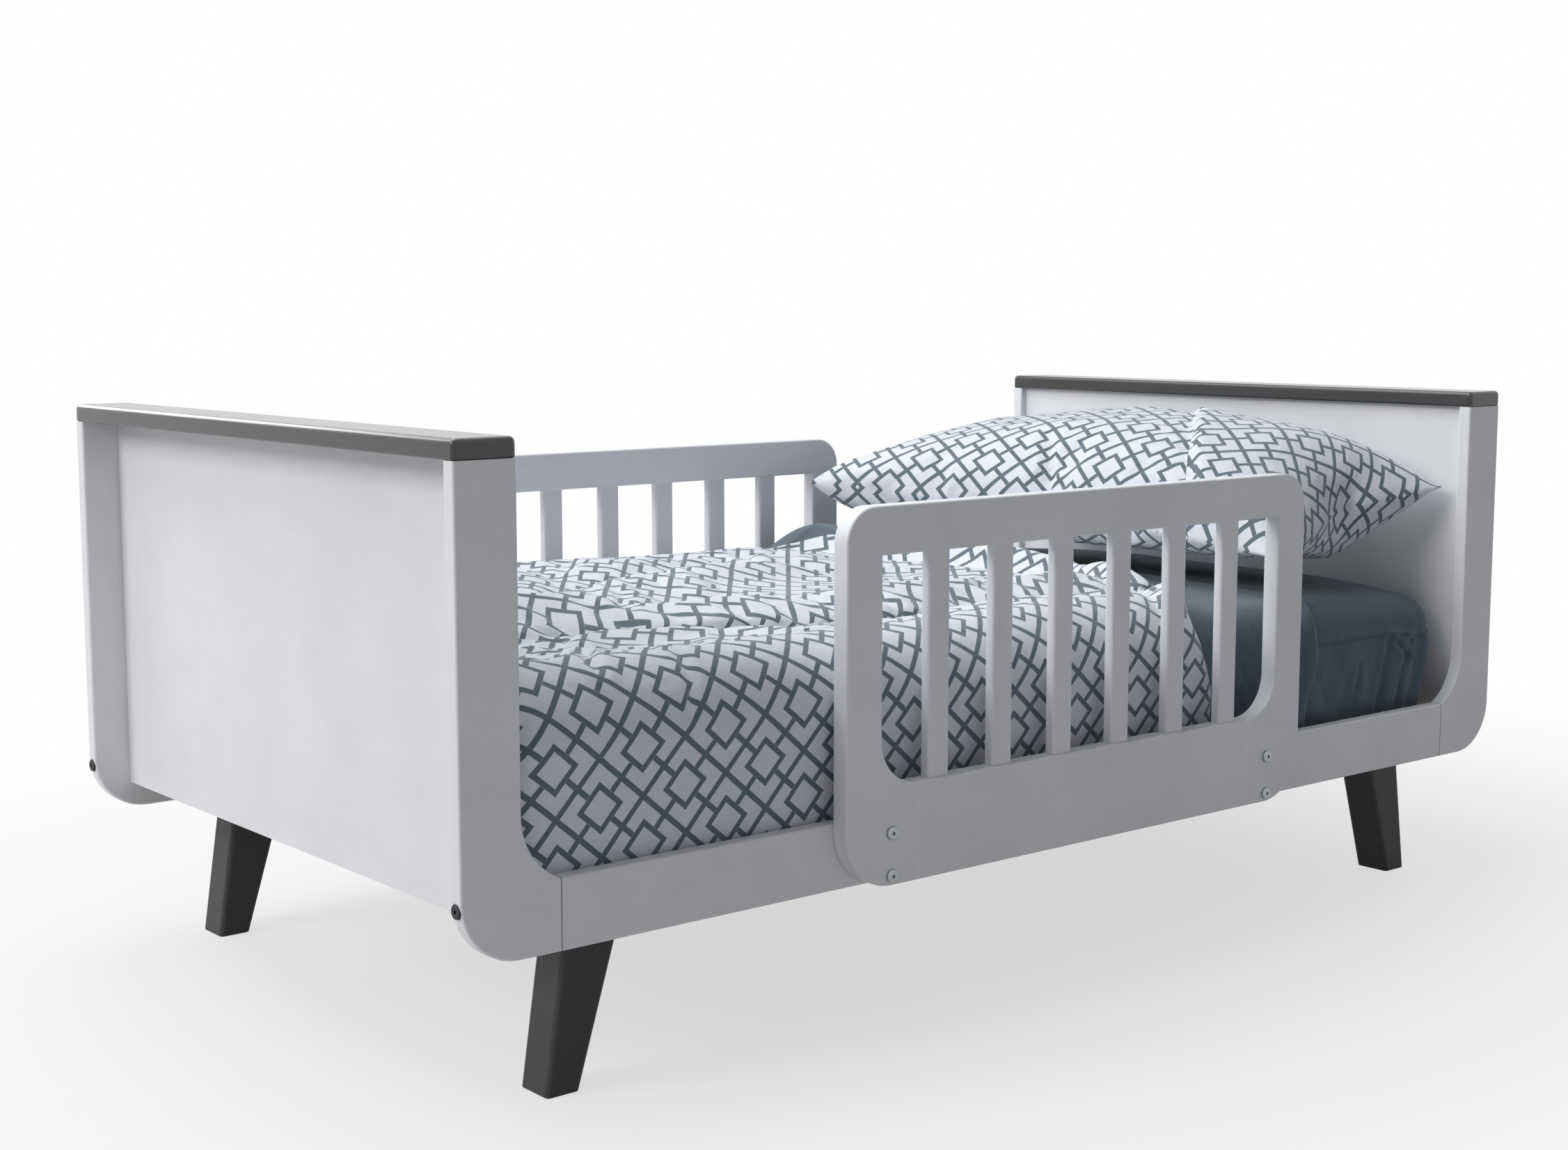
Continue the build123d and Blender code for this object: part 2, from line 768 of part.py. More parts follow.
# Comforter
comforter_reach = inside_half - comforter_clearance
comforter_start = -half_length + post_width + comforter_foot_gap
comforter_end = comforter_start + comforter_length


def comforter_section(number):
    """The outside of the comforter across the bed: two hanging sides and three bulges."""
    shoulder = mattress_top - comforter_shoulder_drop
    front_y = -half_width + comforter_front_creases[number]
    back_y = half_width - comforter_back_creases[number]
    front_crease = (front_y, mattress_top + comforter_front_dips[number])
    back_crease = (back_y, mattress_top + comforter_back_dips[number])
    front_peak = -comforter_reach + comforter_peak_share * (front_y + comforter_reach)
    back_peak = comforter_reach - comforter_peak_share * (comforter_reach - back_y)
    front_top = (front_peak, mattress_top + comforter_front_lofts[number])
    middle_top = ((front_y + back_y) / 2, mattress_top + comforter_middle_lofts[number])
    back_top = (back_peak, mattress_top + comforter_back_lofts[number])
    outline = make_face([
        Line((-comforter_reach, hem), (-comforter_reach, shoulder)),
        ThreePointArc((-comforter_reach, shoulder), front_top, front_crease),
        ThreePointArc(front_crease, middle_top, back_crease),
        ThreePointArc(back_crease, back_top, (comforter_reach, shoulder)),
        Line((comforter_reach, shoulder), (comforter_reach, hem)),
        Line((comforter_reach, hem), (-comforter_reach, hem)),
    ])
    x = comforter_start + comforter_slices[number] * comforter_length
    return Plane((x, 0, 0), x_dir=(0, 1, 0), z_dir=(1, 0, 0)) * outline


def comforter_trim():
    """What is cut off the head edge, where the hanging sides end short of the rolled top."""
    end = comforter_end
    past = end + overcut
    front = [
        (end - comforter_front_end, -half_width),
        (end - comforter_notch, -comforter_reach + comforter_notch_inset),
        (end - comforter_flap, -comforter_reach + comforter_flap_inset),
        (past, -comforter_reach + comforter_corner_inset),
        (past, -half_width),
    ]
    back = [
        (end - comforter_back_end, half_width),
        (end - comforter_back_end, comforter_reach - comforter_notch_inset),
        (past, comforter_reach - comforter_flap_inset),
        (past, half_width),
    ]
    height = mattress_height + comforter_reach
    return [extrude(Pos(0, 0, deck_top) * make_face(Polyline(*p, close=True)), height) for p in (front, back)]


def comforter():
    """The quilted cover, hollow underneath where it lies over the mattress."""
    cover = loft([comforter_section(number) for number in range(len(comforter_slices))], ruled=True)
    for off in comforter_trim():
        cover -= off
    return cover - pad_bar(comforter_grow, comforter_start - bed_width, comforter_end + bed_width)


core = pad(0.0)
pieces["mattress"] = core
pieces["fitted_sheet"] = fitted_sheet(core)
pieces["top_sheet"] = top_sheet()
pieces["comforter"] = comforter()
pieces["pillow"] = pillow()

os.makedirs("parts", exist_ok=True)
for name, part in pieces.items():
    export_step(part, f"parts/{name}.step")
bed_height = post_top + cap_thickness
print(f"{len(pieces)} pieces; {bed_length:.1f} long, {bed_width:.1f} wide, {bed_height:.1f} high")
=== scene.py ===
# %% [markdown]
# # Dressing a toddler bed
# The bed's boards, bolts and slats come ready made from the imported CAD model, and stay where they are.
# This lesson gives them their paint, and then makes what CAD is poor at: a mattress in its sheets,
# a puffy comforter and a plump pillow. Everything is in metres, with +X to the head end, -Y the near
# long side and Z up from the floor.

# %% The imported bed
import json
import math

import bpy
import numpy as np
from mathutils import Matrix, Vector


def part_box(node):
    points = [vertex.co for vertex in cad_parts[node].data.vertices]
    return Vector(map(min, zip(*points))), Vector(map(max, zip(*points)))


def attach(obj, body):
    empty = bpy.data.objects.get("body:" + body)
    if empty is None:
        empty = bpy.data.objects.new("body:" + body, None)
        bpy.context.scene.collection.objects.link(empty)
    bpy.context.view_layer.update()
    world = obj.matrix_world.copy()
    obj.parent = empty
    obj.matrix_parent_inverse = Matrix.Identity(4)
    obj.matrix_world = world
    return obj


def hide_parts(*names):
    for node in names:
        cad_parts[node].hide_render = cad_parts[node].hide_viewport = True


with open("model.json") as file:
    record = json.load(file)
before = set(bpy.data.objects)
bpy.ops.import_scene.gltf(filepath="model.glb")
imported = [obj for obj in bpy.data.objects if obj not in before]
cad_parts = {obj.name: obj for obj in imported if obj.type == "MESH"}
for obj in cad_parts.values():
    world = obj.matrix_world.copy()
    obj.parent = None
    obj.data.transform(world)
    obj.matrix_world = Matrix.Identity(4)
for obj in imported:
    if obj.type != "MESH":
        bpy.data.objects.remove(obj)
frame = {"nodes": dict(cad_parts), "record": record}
nodes = frame["nodes"]
scene = bpy.context.scene
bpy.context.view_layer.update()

# %% [markdown]
# ## The camera
# The photograph looks across the near foot corner from a little above the caps. A camera could be placed
# by eye, but its place was worked out from the corners of the frame, so the numbers are used as they are:
# where it stands, how far it turns from the +Y direction, how far it looks down, and its lens.

# %% Camera
def add_object(name, data):
    """A new object in the scene."""
    made = bpy.data.objects.new(name, data)
    scene.collection.objects.link(made)
    return made


def aim(made, place, direction):
    """Puts a camera or a lamp in its place and turns it."""
    made.location = place
    made.rotation_mode = "QUATERNION"
    made.rotation_quaternion = direction.to_track_quat("-Z", "Y")


camera_place = Vector((-1.6428, -1.8970, 0.6879))
camera_turn = math.radians(39.55)
camera_tilt = math.radians(-7.08)
look = Vector((
    math.sin(camera_turn) * math.cos(camera_tilt),
    math.cos(camera_turn) * math.cos(camera_tilt),
    math.sin(camera_tilt),
))
lens = bpy.data.cameras.new("camera")
lens.sensor_width = 36
lens.lens = 50.87
camera = add_object("camera", lens)
aim(camera, camera_place, look)
scene.camera = camera
print("camera looks along", [round(v, 3) for v in look])


# %% [markdown]
# ## Writing finishes as sums
# A finish is a small web of nodes. Wiring them by hand is long to read, so one class wraps a node's
# output: adding, subtracting or multiplying wraps adds the Math nodes, and one method makes any other
# node.

# %% Wrapped sockets
class Wire:
    """One output of a node, which can be used in a sum."""

    def __init__(self, tree, socket=None):
        self.tree = tree
        self.socket = socket

    def node(self, kind, settings=None, inputs=None, output=0):
        """A new node of that kind, with its settings made before its sockets are filled."""
        made = self.tree.nodes.new("ShaderNode" + kind)
        for name, value in (settings or {}).items():
            setattr(made, name, value)
        for name, value in (inputs or {}).items():
            if isinstance(value, Wire):
                self.tree.links.new(value.socket, made.inputs[name])
            else:
                made.inputs[name].default_value = value
        return Wire(self.tree, made.outputs[output])

    def feeds(self, shader, name):
        self.tree.links.new(self.socket, shader.inputs[name])

    def math(self, operation, *others):
        return self.node("Math", {"operation": operation}, dict(enumerate((self, *others))))

    def __add__(self, other):
        return self.math("ADD", other)

    __radd__ = __add__

    def __mul__(self, other):
        return self.math("MULTIPLY", other)

    __rmul__ = __mul__

    def __sub__(self, other):
        return self.math("SUBTRACT", other)

    def __rsub__(self, other):
        return self.node("Math", {"operation": "SUBTRACT"}, {0: other, 1: self})

    def __abs__(self):
        return self.math("ABSOLUTE")

    def step(self, low, high):
        """0 below low, 1 above high, and smooth between."""
        settings = {"interpolation_type": "SMOOTHSTEP"}
        return self.node("MapRange", settings, {"Value": self, "From Min": low, "From Max": high})

    def between(self, first, second):
        """A colour that goes from the first to the second as this value goes from 0 to 1."""
        return self.node("Mix", {"data_type": "RGBA"}, {0: self, 6: first, 7: second}, 2)


def noise_on(place, scale, detail=2.0, roughness=0.5):
    """Smooth random values over a place."""
    inputs = {"Vector": place, "Scale": scale, "Detail": detail, "Roughness": roughness}
    return place.node("TexNoise", None, inputs)


def stretched(place, scale):
    """A place stretched by three factors."""
    return place.node("VectorMath", {"operation": "MULTIPLY"}, {0: place, 1: scale})


def grain_on(place, scale, detail=2.0, roughness=0.5):
    """Random values over a stretched place, for grain that runs one way."""
    return noise_on(stretched(place, scale), 1.0, detail, roughness)


def parts_of(place):
    """The x, y and z of a place, each as a value."""
    split = place.node("SeparateXYZ", None, {0: place})
    return [Wire(place.tree, socket) for socket in split.socket.node.outputs]


def new_finish(name, constants):
    """A finish with only its constants: the material, its tree as a wire and its shader."""
    material = bpy.data.materials.new(name)
    material.use_nodes = True
    shader = material.node_tree.nodes["Principled BSDF"]
    for socket, value in constants.items():
        shader.inputs[socket].default_value = value
    return material, Wire(material.node_tree), shader


def raise_by(height, depth, shader):
    """A bump of that depth in metres on the shader's normal."""
    inputs = {"Height": height, "Distance": depth, "Strength": 1.0}
    height.node("Bump", None, inputs).feeds(shader, "Normal")


# %% [markdown]
# ## Painted boards
# The boards are sprayed with white satin paint. Up close such paint isn't flat: it has a fine orange peel,
# the gloss changes a little over a board, and hands leave faint dull smears. Noise at three scales gives
# that. Where two boards meet flush, a hairline in the paint shows the joint.

# %% White and charcoal paint
hairline_edge = (0.0003, 0.0010)
seam_overrun = 0.005


def colour(red, green, blue):
    return (red, green, blue, 1.0)


def white_paint(name, seam, below, line):
    """White satin paint with a hairline at a seam, so far along the bed and below a height."""
    material, kit, shader = new_finish(name, {"Roughness": 0.4})
    place = kit.node("TexCoord", output="Object")
    clouds = noise_on(place, 7.0, 4.0)
    smears = grain_on(place, (14.0, 14.0, 30.0), 5.0, 0.65)
    peel = noise_on(place, 520.0, 1.0)
    shade = clouds.step(0.3, 0.7) * 0.7 + smears.step(0.45, 0.75) * 0.3
    coat = shade.between(colour(0.78, 0.78, 0.80), colour(0.72, 0.725, 0.745))
    along, _, height = parts_of(place)
    hairline = (1 - abs(abs(along) - seam).step(*hairline_edge)) * height.math("LESS_THAN", below)
    hairline.between(coat, line).feeds(shader, "Base Color")
    (smears * 0.22 + clouds * 0.12 + 0.24).feeds(shader, "Roughness")
    raise_by(peel + clouds * 3.0, 0.00012, shader)
    return material


def charcoal_paint(name, grain, shade, gloss, coat=0.0):
    """Dark satin paint over open grain, with rubbed, lighter streaks along it."""
    constants = {"Roughness": 0.36, "Specular IOR Level": gloss, "Coat Weight": coat}
    material, kit, shader = new_finish(name, {**constants, "Coat Roughness": 0.14})
    place = kit.node("TexCoord", output="Object")
    streaks = grain_on(place, grain, 6.0, 0.7)
    clouds = noise_on(place, 11.0, 3.0)
    worn = streaks.step(0.5, 0.8) * clouds.step(0.4, 0.7)
    dark = colour(0.040 * shade, 0.040 * shade, 0.042 * shade)
    light = colour(0.075 * shade, 0.075 * shade, 0.077 * shade)
    worn.between(dark, light).feeds(shader, "Base Color")
    (streaks * 0.25 + clouds * 0.15 + 0.16).feeds(shader, "Roughness")
    raise_by(streaks, 0.00035, shader)
    return material


post_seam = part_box("side_rail_front")[1].x
post_seam_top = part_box("side_rail_front")[1].z + seam_overrun
guard_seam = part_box("guard_front_bottom_rail")[1].x
guard_seam_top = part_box("guard_front_bottom_rail")[1].z
frame_white = white_paint("white_satin_frame", post_seam, post_seam_top, colour(0.24, 0.24, 0.25))
guard_white = white_paint("white_satin_guard", guard_seam, guard_seam_top, colour(0.84, 0.84, 0.85))
cap_charcoal = charcoal_paint("charcoal_cap", (300.0, 9.0, 300.0), 0.42, 0.3, 0.72)
leg_charcoal = charcoal_paint("charcoal_leg", (260.0, 260.0, 12.0), 1.75, 0.12)
print("paints:", frame_white.name, guard_white.name, cap_charcoal.name, leg_charcoal.name)

# %% [markdown]
# ## Bare wood and metal
# The slats and cleats are plain pine: bands of darker late wood that run along the board and wander a
# little. The guard's bolts are zinc plated, which is brushed and slightly blue, and the long post bolts
# are black.

# %% Pine, zinc and black steel
def pine(name, grain):
    material, kit, shader = new_finish(name, {"Roughness": 0.6})
    place = kit.node("TexCoord", output="Object")
    rings = grain_on(place, grain, 3.0)
    bands = (rings * 14.0).math("SINE") * 0.5 + 0.5
    pores = grain_on(place, tuple(6.0 * g for g in grain))
    tone = bands * 0.6 + pores * 0.4
    tone.between(colour(0.66, 0.49, 0.31), colour(0.47, 0.30, 0.16)).feeds(shader, "Base Color")
    (pores * 0.3 + 0.45).feeds(shader, "Roughness")
    raise_by(bands * 0.4 + pores, 0.0003, shader)
    return material


def bolt_steel(name, bright, dull, roughness, metallic):
    material, kit, shader = new_finish(name, {"Roughness": roughness, "Metallic": metallic})
    place = kit.node("TexCoord", output="Object")
    scratches = grain_on(place, (900.0, 900.0, 4000.0), 3.0, 0.6)
    scratches.between(bright, dull).feeds(shader, "Base Color")
    (scratches * 0.25 + (roughness - 0.1)).feeds(shader, "Roughness")
    raise_by(scratches, 0.00006, shader)
    return material


slat_pine = pine("pine_slats", (34.0, 2.0, 60.0))
cleat_pine = pine("pine_cleats", (2.0, 40.0, 60.0))
zinc = bolt_steel("zinc_bolts", colour(0.40, 0.42, 0.43), colour(0.25, 0.27, 0.28), 0.36, 1.0)
black = colour(0.020, 0.020, 0.022)
black_steel = bolt_steel("black_bolts", black, colour(0.045, 0.045, 0.05), 0.42, 0.6)

finish_of_slot = {
    "white_paint": frame_white,
    "charcoal_paint": leg_charcoal,
    "bare_wood": slat_pine,
    "zinc_steel": zinc,
    "black_steel": black_steel,
}
painted = 0
for part in frame["record"]["subparts"]:
    finish = finish_of_slot.get(part["material_slot"])
    if part["node"].startswith("guard_") and finish is frame_white:
        finish = guard_white
    if part["node"].endswith("_cap"):
        finish = cap_charcoal
    if part["node"].startswith("slat_cleat"):
        finish = cleat_pine
    if finish is not None:
        nodes[part["node"]].data.materials.clear()
        nodes[part["node"]].data.materials.append(finish)
        painted += 1
print(painted, "CAD nodes finished")

# %% [markdown]
# ## Cloth
# Both cloths are plain cotton weave. Each cloth piece carries its flat pattern with it: an attribute called
# cloth holds where a point was on the flat cut, in metres, so threads and print follow every fold.
# The print is a fretwork: a lattice of square cells at a slant, an outlined square in each cell, and a
# short bar from the middle of each of its sides to the lattice.

# %% Cotton weave
thread = 0.0011


def cotton(name, roughness, sheen):
    """A cotton finish without its colour, and what that needs: its threads and slubs, from 0 to 1."""
    constants = {"Roughness": roughness, "Specular IOR Level": 0.25, "Sheen Weight": sheen}
    material, kit, shader = new_finish(name, {**constants, "Sheen Roughness": 0.5})
    flat = kit.node("Attribute", {"attribute_name": "cloth"}, output="Vector")
    turns = 2 * math.pi / thread
    x, y, _ = parts_of(stretched(flat, (turns, turns, 0.0)))
    threads = (x.math("SINE") * y.math("SINE")) * 0.5 + 0.5
    slubs = (grain_on(flat, (60.0, 900.0, 1.0)) + grain_on(flat, (900.0, 60.0, 1.0))) * 0.5
    creases = grain_on(flat, (24.0, 24.0, 1.0), 3.0, 0.55)
    fine = grain_on(flat, (90.0, 90.0, 1.0))
    raise_by(threads * 0.06 + slubs * 0.12 + creases * 1.6 + fine * 0.35, 0.0022, shader)
    (slubs * 0.2 + (roughness - 0.1)).feeds(shader, "Roughness")
    return material, shader, flat, threads, slubs


slate_dark = colour(0.072, 0.101, 0.126)
slate_light = colour(0.114, 0.153, 0.186)


def slate_cotton():
    material, shader, flat, threads, slubs = cotton("slate_cotton", 0.8, 0.15)
    tone = threads * 0.25 + slubs * 0.5 + noise_on(flat, 9.0, 3.0) * 0.25
    tone.between(slate_dark, slate_light).feeds(shader, "Base Color")
    return material


slate = slate_cotton()
print("cloth:", slate.name)

# %% Fretwork print
print_pitch = 0.064
print_slant = math.radians(5.5 + 45.0)
print_line = 0.042
square_inside = 0.187
square_outside = 0.268
print_edge = 0.006
lining_edge = 0.0004


def past(value, edge):
    """0 below an edge of the print and 1 above it, over the soft border of the ink."""
    return value.step(edge - print_edge, edge + print_edge)


def fretwork(flat, start, fold=None, shift=(0.0, 0.0)):
    """1 on the printed lines and 0 on the ground; start is the middle of one of the printed squares."""
    x, y, _ = parts_of(flat)
    x = x - start[0]
    y = y - start[1]
    if fold is not None:
        fold_place, fold_slant = fold
        beyond = (y - x * fold_slant).math("LESS_THAN", fold_place + start[0] * fold_slant - start[1])
        x = x + beyond * shift[0]
        y = y + beyond * shift[1]
    cell = []
    for turn in (print_slant, print_slant - math.pi / 2):
        lattice = x * (math.cos(turn) / print_pitch) + y * (math.sin(turn) / print_pitch) + 0.5
        cell.append(abs(lattice.math("FRACT") - 0.5))
    far = cell[0].math("MAXIMUM", cell[1])
    near = cell[0].math("MINIMUM", cell[1])
    lattice_line = past(far, 0.5 - print_line)
    outside = past(far, square_outside)
    ring = past(far, square_inside) - outside
    bar = (1 - past(near, print_line)) * outside
    return lattice_line.math("MAXIMUM", ring.math("MAXIMUM", bar))


def printed_cotton(name, start, fold=None, shift=(0.0, 0.0), lined=False):
    """Cotton with the print; where a lined piece is turned over, its attribute lining is above 0."""
    material, shader, flat, threads, slubs = cotton(name, 0.82, 0.42)
    ink = fretwork(flat, start, fold, shift)
    tone = threads * 0.4 + slubs * 0.6
    ground = tone.between(colour(0.68, 0.69, 0.75), colour(0.82, 0.83, 0.88))
    line = tone.between(colour(0.092, 0.124, 0.156), colour(0.144, 0.188, 0.230))
    face = ink.between(ground, line)
    if lined:
        lining = flat.node("Attribute", {"attribute_name": "lining"}, output="Fac")
        back = tone.between(slate_dark, slate_light)
        face = lining.step(-lining_edge, lining_edge).between(face, back)
    face.feeds(shader, "Base Color")
    return material


comforter_print = printed_cotton("printed_cotton_comforter", (-0.4926, 0.0695), lined=True)
pillow_fold = (-0.105, 0.55)
pillow_print = printed_cotton("printed_cotton_pillow", (0.02, 0.03), pillow_fold, (0.021, 0.012))
print("prints:", comforter_print.name, pillow_print.name)

# %% [markdown]
# ## Helpers for cloth shapes
# A sheet can be pushed over the mattress by a cloth simulation, or laid there by rule. The mattress is a
# simple rounded slab, so a rule does it: a place on a layer is how far across the bed it lies, measured
# round the rim and down the side, and how far along. Folds are then added along the layer's normal. Names
# that start with pad are measures of the mattress.

# %% The dressed mattress as a shape
pad_low, pad_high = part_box("mattress")
pad_half = pad_high.y
pad_top = pad_high.z
pad_bottom = pad_low.z
pad_crown = 0.005
pad_rim = 0.034
pad_corner = 0.032
flat_half = pad_half - pad_rim
rim_foot = pad_top - pad_crown - pad_rim
rail_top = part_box("side_rail_front")[1].z
hem_height = 0.196
ripple_count = 10


def reach_to(height, lift):
    """How far across a layer has to reach to come down to a height at its sides."""
    rim = pad_rim + lift
    return flat_half + rim * math.pi / 2 + (rim_foot - height)


def over_mattress(across, lift):
    """The y, z and outward normal of places on a layer that lies lift above the mattress."""
    side = np.sign(across)
    reach = np.abs(across)
    rim = pad_rim + lift
    turn = np.clip((reach - flat_half) / rim, 0, math.pi / 2)
    down = np.maximum(reach - flat_half - rim * math.pi / 2, 0)
    on_top = np.minimum(reach, flat_half)
    y = side * (on_top + rim * np.sin(turn))
    sag = pad_crown * (on_top / flat_half) ** 2
    z = pad_top + lift - sag - rim * (1 - np.cos(turn)) - down
    return y, z, side * np.sin(turn), np.cos(turn)


def waves(p, q, length, seed, spread=math.pi):
    """Ripples of about that length, from about -1 to 1; a small spread makes them run one way."""
    random = np.random.default_rng(seed)
    total = np.zeros(np.broadcast(p, q).shape)
    for _ in range(ripple_count):
        turn = random.uniform(-spread / 2, spread / 2)
        number = 2 * math.pi / (length * random.uniform(0.7, 1.5))
        phase = random.uniform(0, 2 * math.pi)
        total += np.sin(number * (p * math.cos(turn) + q * math.sin(turn)) + phase)
    return total / math.sqrt(2.0 * ripple_count)


def bell(distance, width):
    """1 at no distance, falling off to both sides over about that width."""
    return np.exp(-((distance / width) ** 2))


def smooth(value, low, high):
    """0 below low, 1 above high, and smooth between."""
    t = np.clip((value - low) / (high - low), 0, 1)
    return t * t * (3 - 2 * t)


def beside(x, across, start, end):
    """How far places lie from a straight tuck between two places."""
    run = np.array(end) - np.array(start)
    along = ((x - start[0]) * run[0] + (across - start[1]) * run[1]) / run.dot(run)
    along = np.clip(along, 0, 1)
    return np.hypot(x - start[0] - along * run[0], across - start[1] - along * run[1])


def quads(rows, columns, start=0, flip=False, ring=False):
    """The faces of a grid of points; a ring's last column meets its first."""
    last = columns if ring else columns - 1
    row, column = np.meshgrid(np.arange(rows - 1), np.arange(last), indexing="ij")
    after = (column + 1) % columns
    here = row * columns
    there = here + columns
    corners = (here + column, here + after, there + after, there + column)
    faces = np.stack([c.ravel() + start for c in corners], axis=1)
    return faces[:, ::-1] if flip else faces


def cloth_piece(name, points, flat, faces, finishes, face_finish=None):
    """A mesh object with its flat pattern kept as the attribute cloth."""
    mesh = bpy.data.meshes.new(name)
    mesh.from_pydata(points.reshape(-1, 3).tolist(), [], np.asarray(faces).tolist())
    kept = mesh.attributes.new("cloth", "FLOAT_VECTOR", "POINT")
    places = np.zeros((points.reshape(-1, 3).shape[0], 3), np.float32)
    places[:, :2] = flat.reshape(-1, 2)
    kept.data.foreach_set("vector", places.ravel())
    for finish in finishes:
        mesh.materials.append(finish)
    if face_finish is not None:
        mesh.polygons.foreach_set("material_index", np.asarray(face_finish, np.int32))
    mesh.polygons.foreach_set("use_smooth", np.ones(len(mesh.polygons), bool))
    mesh.update()
    return add_object(name, mesh)


print("mattress top at", round(pad_top, 4), "and rail top at", round(rail_top, 4))

# %% [markdown]
# ## Filling a cushion
# A stuffed piece is best made by blowing it up: the cloth solver pushes its skin outwards from inside,
# the held points stay, and the spare cloth between them wrinkles by itself. Gravity is off, and a limit
# keeps any point from wandering too far.

# %% Blowing up a piece
def points_of(mesh):
    found = np.zeros(len(mesh.vertices) * 3, np.float32)
    mesh.vertices.foreach_get("co", found)
    return found.reshape(-1, 3).astype(float)


def blow_up(piece, held, pressure, slack, frames, limit, stiffness=8.0, bending=0.4):
    """Fills a closed piece; held is how firmly each point is kept in place, from 0 to 1."""
    before = points_of(piece.data)
    keep = piece.vertex_groups.new(name="held")
    for level in np.unique(held[held > 0]):
        keep.add(np.nonzero(held == level)[0].tolist(), float(level), "REPLACE")
    filling = piece.modifiers.new("filling", "CLOTH")
    rules = filling.settings
    rules.quality = 4
    rules.mass = 0.25
    rules.tension_stiffness = stiffness
    rules.compression_stiffness = stiffness
    rules.shear_stiffness = stiffness * 0.4
    rules.bending_stiffness = bending
    rules.air_damping = 6.0
    rules.use_pressure = True
    rules.uniform_pressure_force = pressure
    rules.shrink_min = -slack
    rules.vertex_group_mass = "held"
    rules.effector_weights.gravity = 0.0
    filling.collision_settings.use_collision = False
    filling.point_cache.frame_start = 1
    filling.point_cache.frame_end = frames
    for number in range(1, frames + 1):
        scene.frame_set(number)
    shaped = piece.evaluated_get(bpy.context.evaluated_depsgraph_get())
    after = points_of(shaped.data)
    piece.modifiers.remove(filling)
    piece.vertex_groups.clear()
    scene.frame_set(1)
    move = after - before
    length = np.linalg.norm(move, axis=1, keepdims=True)
    move *= np.minimum(1.0, limit / np.maximum(length, 1e-9))
    piece.data.vertices.foreach_set("co", (before + move).astype(np.float32).ravel())
    piece.data.update()
    usual, most = (round(float(far) * 1000, 1) for far in (length.mean(), length.max()))
    print(piece.name, "moved", usual, "mm on average, most", most)


def refine(piece):
    """Rounds a piece off with one step of subdivision."""
    rounding = piece.modifiers.new("rounding", "SUBSURF")
    rounding.levels = 1
    rounding.render_levels = 1


# %% [markdown]
# ## Mattress
# Under the sheets is a foam mattress in a quilted ticking, with a tape edge sewn round its top and bottom.
# It only shows from below, between the slats. It is made of rings that go from the middle of the bottom,
# out to the edge, up the side, over the rim and in to the middle of the top.

# %% Rings round the mattress
pad_middle = (pad_low.x + pad_high.x) / 2
pad_reach = (pad_high.x - pad_low.x) / 2
spine = pad_reach - pad_half
under_edge = 0.008
top_rings = 22


def outline(grow, count):
    """Points round the mattress seen from above, their outward normals and their place along the edge."""
    radius = pad_corner + grow
    half_x = pad_reach + grow - radius
    half_y = pad_half + grow - radius
    arc = radius * math.pi / 2
    total = 4 * (half_x + half_y + arc)
    place = np.arange(count) / count * total
    x = np.zeros(count)
    y = np.zeros(count)
    turn = np.zeros(count)
    start = 0.0
    corners = ((half_x, -half_y), (half_x, half_y), (-half_x, half_y), (-half_x, -half_y))
    for number, (corner_x, corner_y) in enumerate(corners):
        run = 2 * (half_x if number % 2 == 0 else half_y)
        facing = (number - 1) * math.pi / 2
        end = start + run + arc
        here = (place >= start) & (place < end)
        behind = run - (place[here] - start)
        turn[here] = facing + np.maximum(-behind, 0) / radius
        behind = np.maximum(behind, 0)
        x[here] = corner_x + radius * np.cos(turn[here]) + behind * math.sin(facing)
        y[here] = corner_y + radius * np.sin(turn[here]) - behind * math.cos(facing)
        start = end
    return x + pad_middle, y, np.cos(turn), np.sin(turn), place


def pad_rings(grow, profile, count):
    """Rings of points, one for each inset and height of the profile, that draw in to a middle line."""
    x, y, out_x, out_y, place = outline(grow, count)
    line_x = np.clip(x, pad_middle - spine, pad_middle + spine)
    rings = []
    for inset, height in profile:
        draw = max(inset - pad_rim, 0) / (pad_half + grow - pad_rim)
        small = min(inset, pad_rim)
        ring_x = x - out_x * small
        ring_y = y - out_y * small
        ring_x = ring_x + (line_x - ring_x) * draw
        ring_y = ring_y * (1 - draw)
        rings.append(np.stack([ring_x, ring_y, np.full(count, height)], axis=1))
    return np.array(rings), place, out_x, out_y


def from_edges(points):
    """How far points lie inside the mattress's ends and its sides."""
    from_end = pad_reach - np.abs(points[..., 0] - pad_middle)
    return from_end, pad_half - np.abs(points[..., 1])


def push_out(rings, amount, out_x, out_y):
    """Moves the rings' points outwards, seen from above."""
    rings[:, :, 0] += amount * out_x
    rings[:, :, 1] += amount * out_y


def draw_in(rings, out_x, out_y):
    """Pulls the lower corners of the rings in and the upper ones down, as a cover's elastic does."""
    corner = np.abs(out_x * out_y)[None, :] * 2
    high = smooth(rings[:, :, 2], pad_bottom + 0.04, pad_top)
    rings[:, :, 2] -= 0.0115 * bell(np.hypot(*from_edges(rings)), 0.10) * high
    low = 1 - smooth(rings[:, :, 2], pad_bottom, pad_bottom + 0.075)
    pull = 0.022 * corner * low ** 1.5
    push_out(rings, -pull, out_x, out_y)


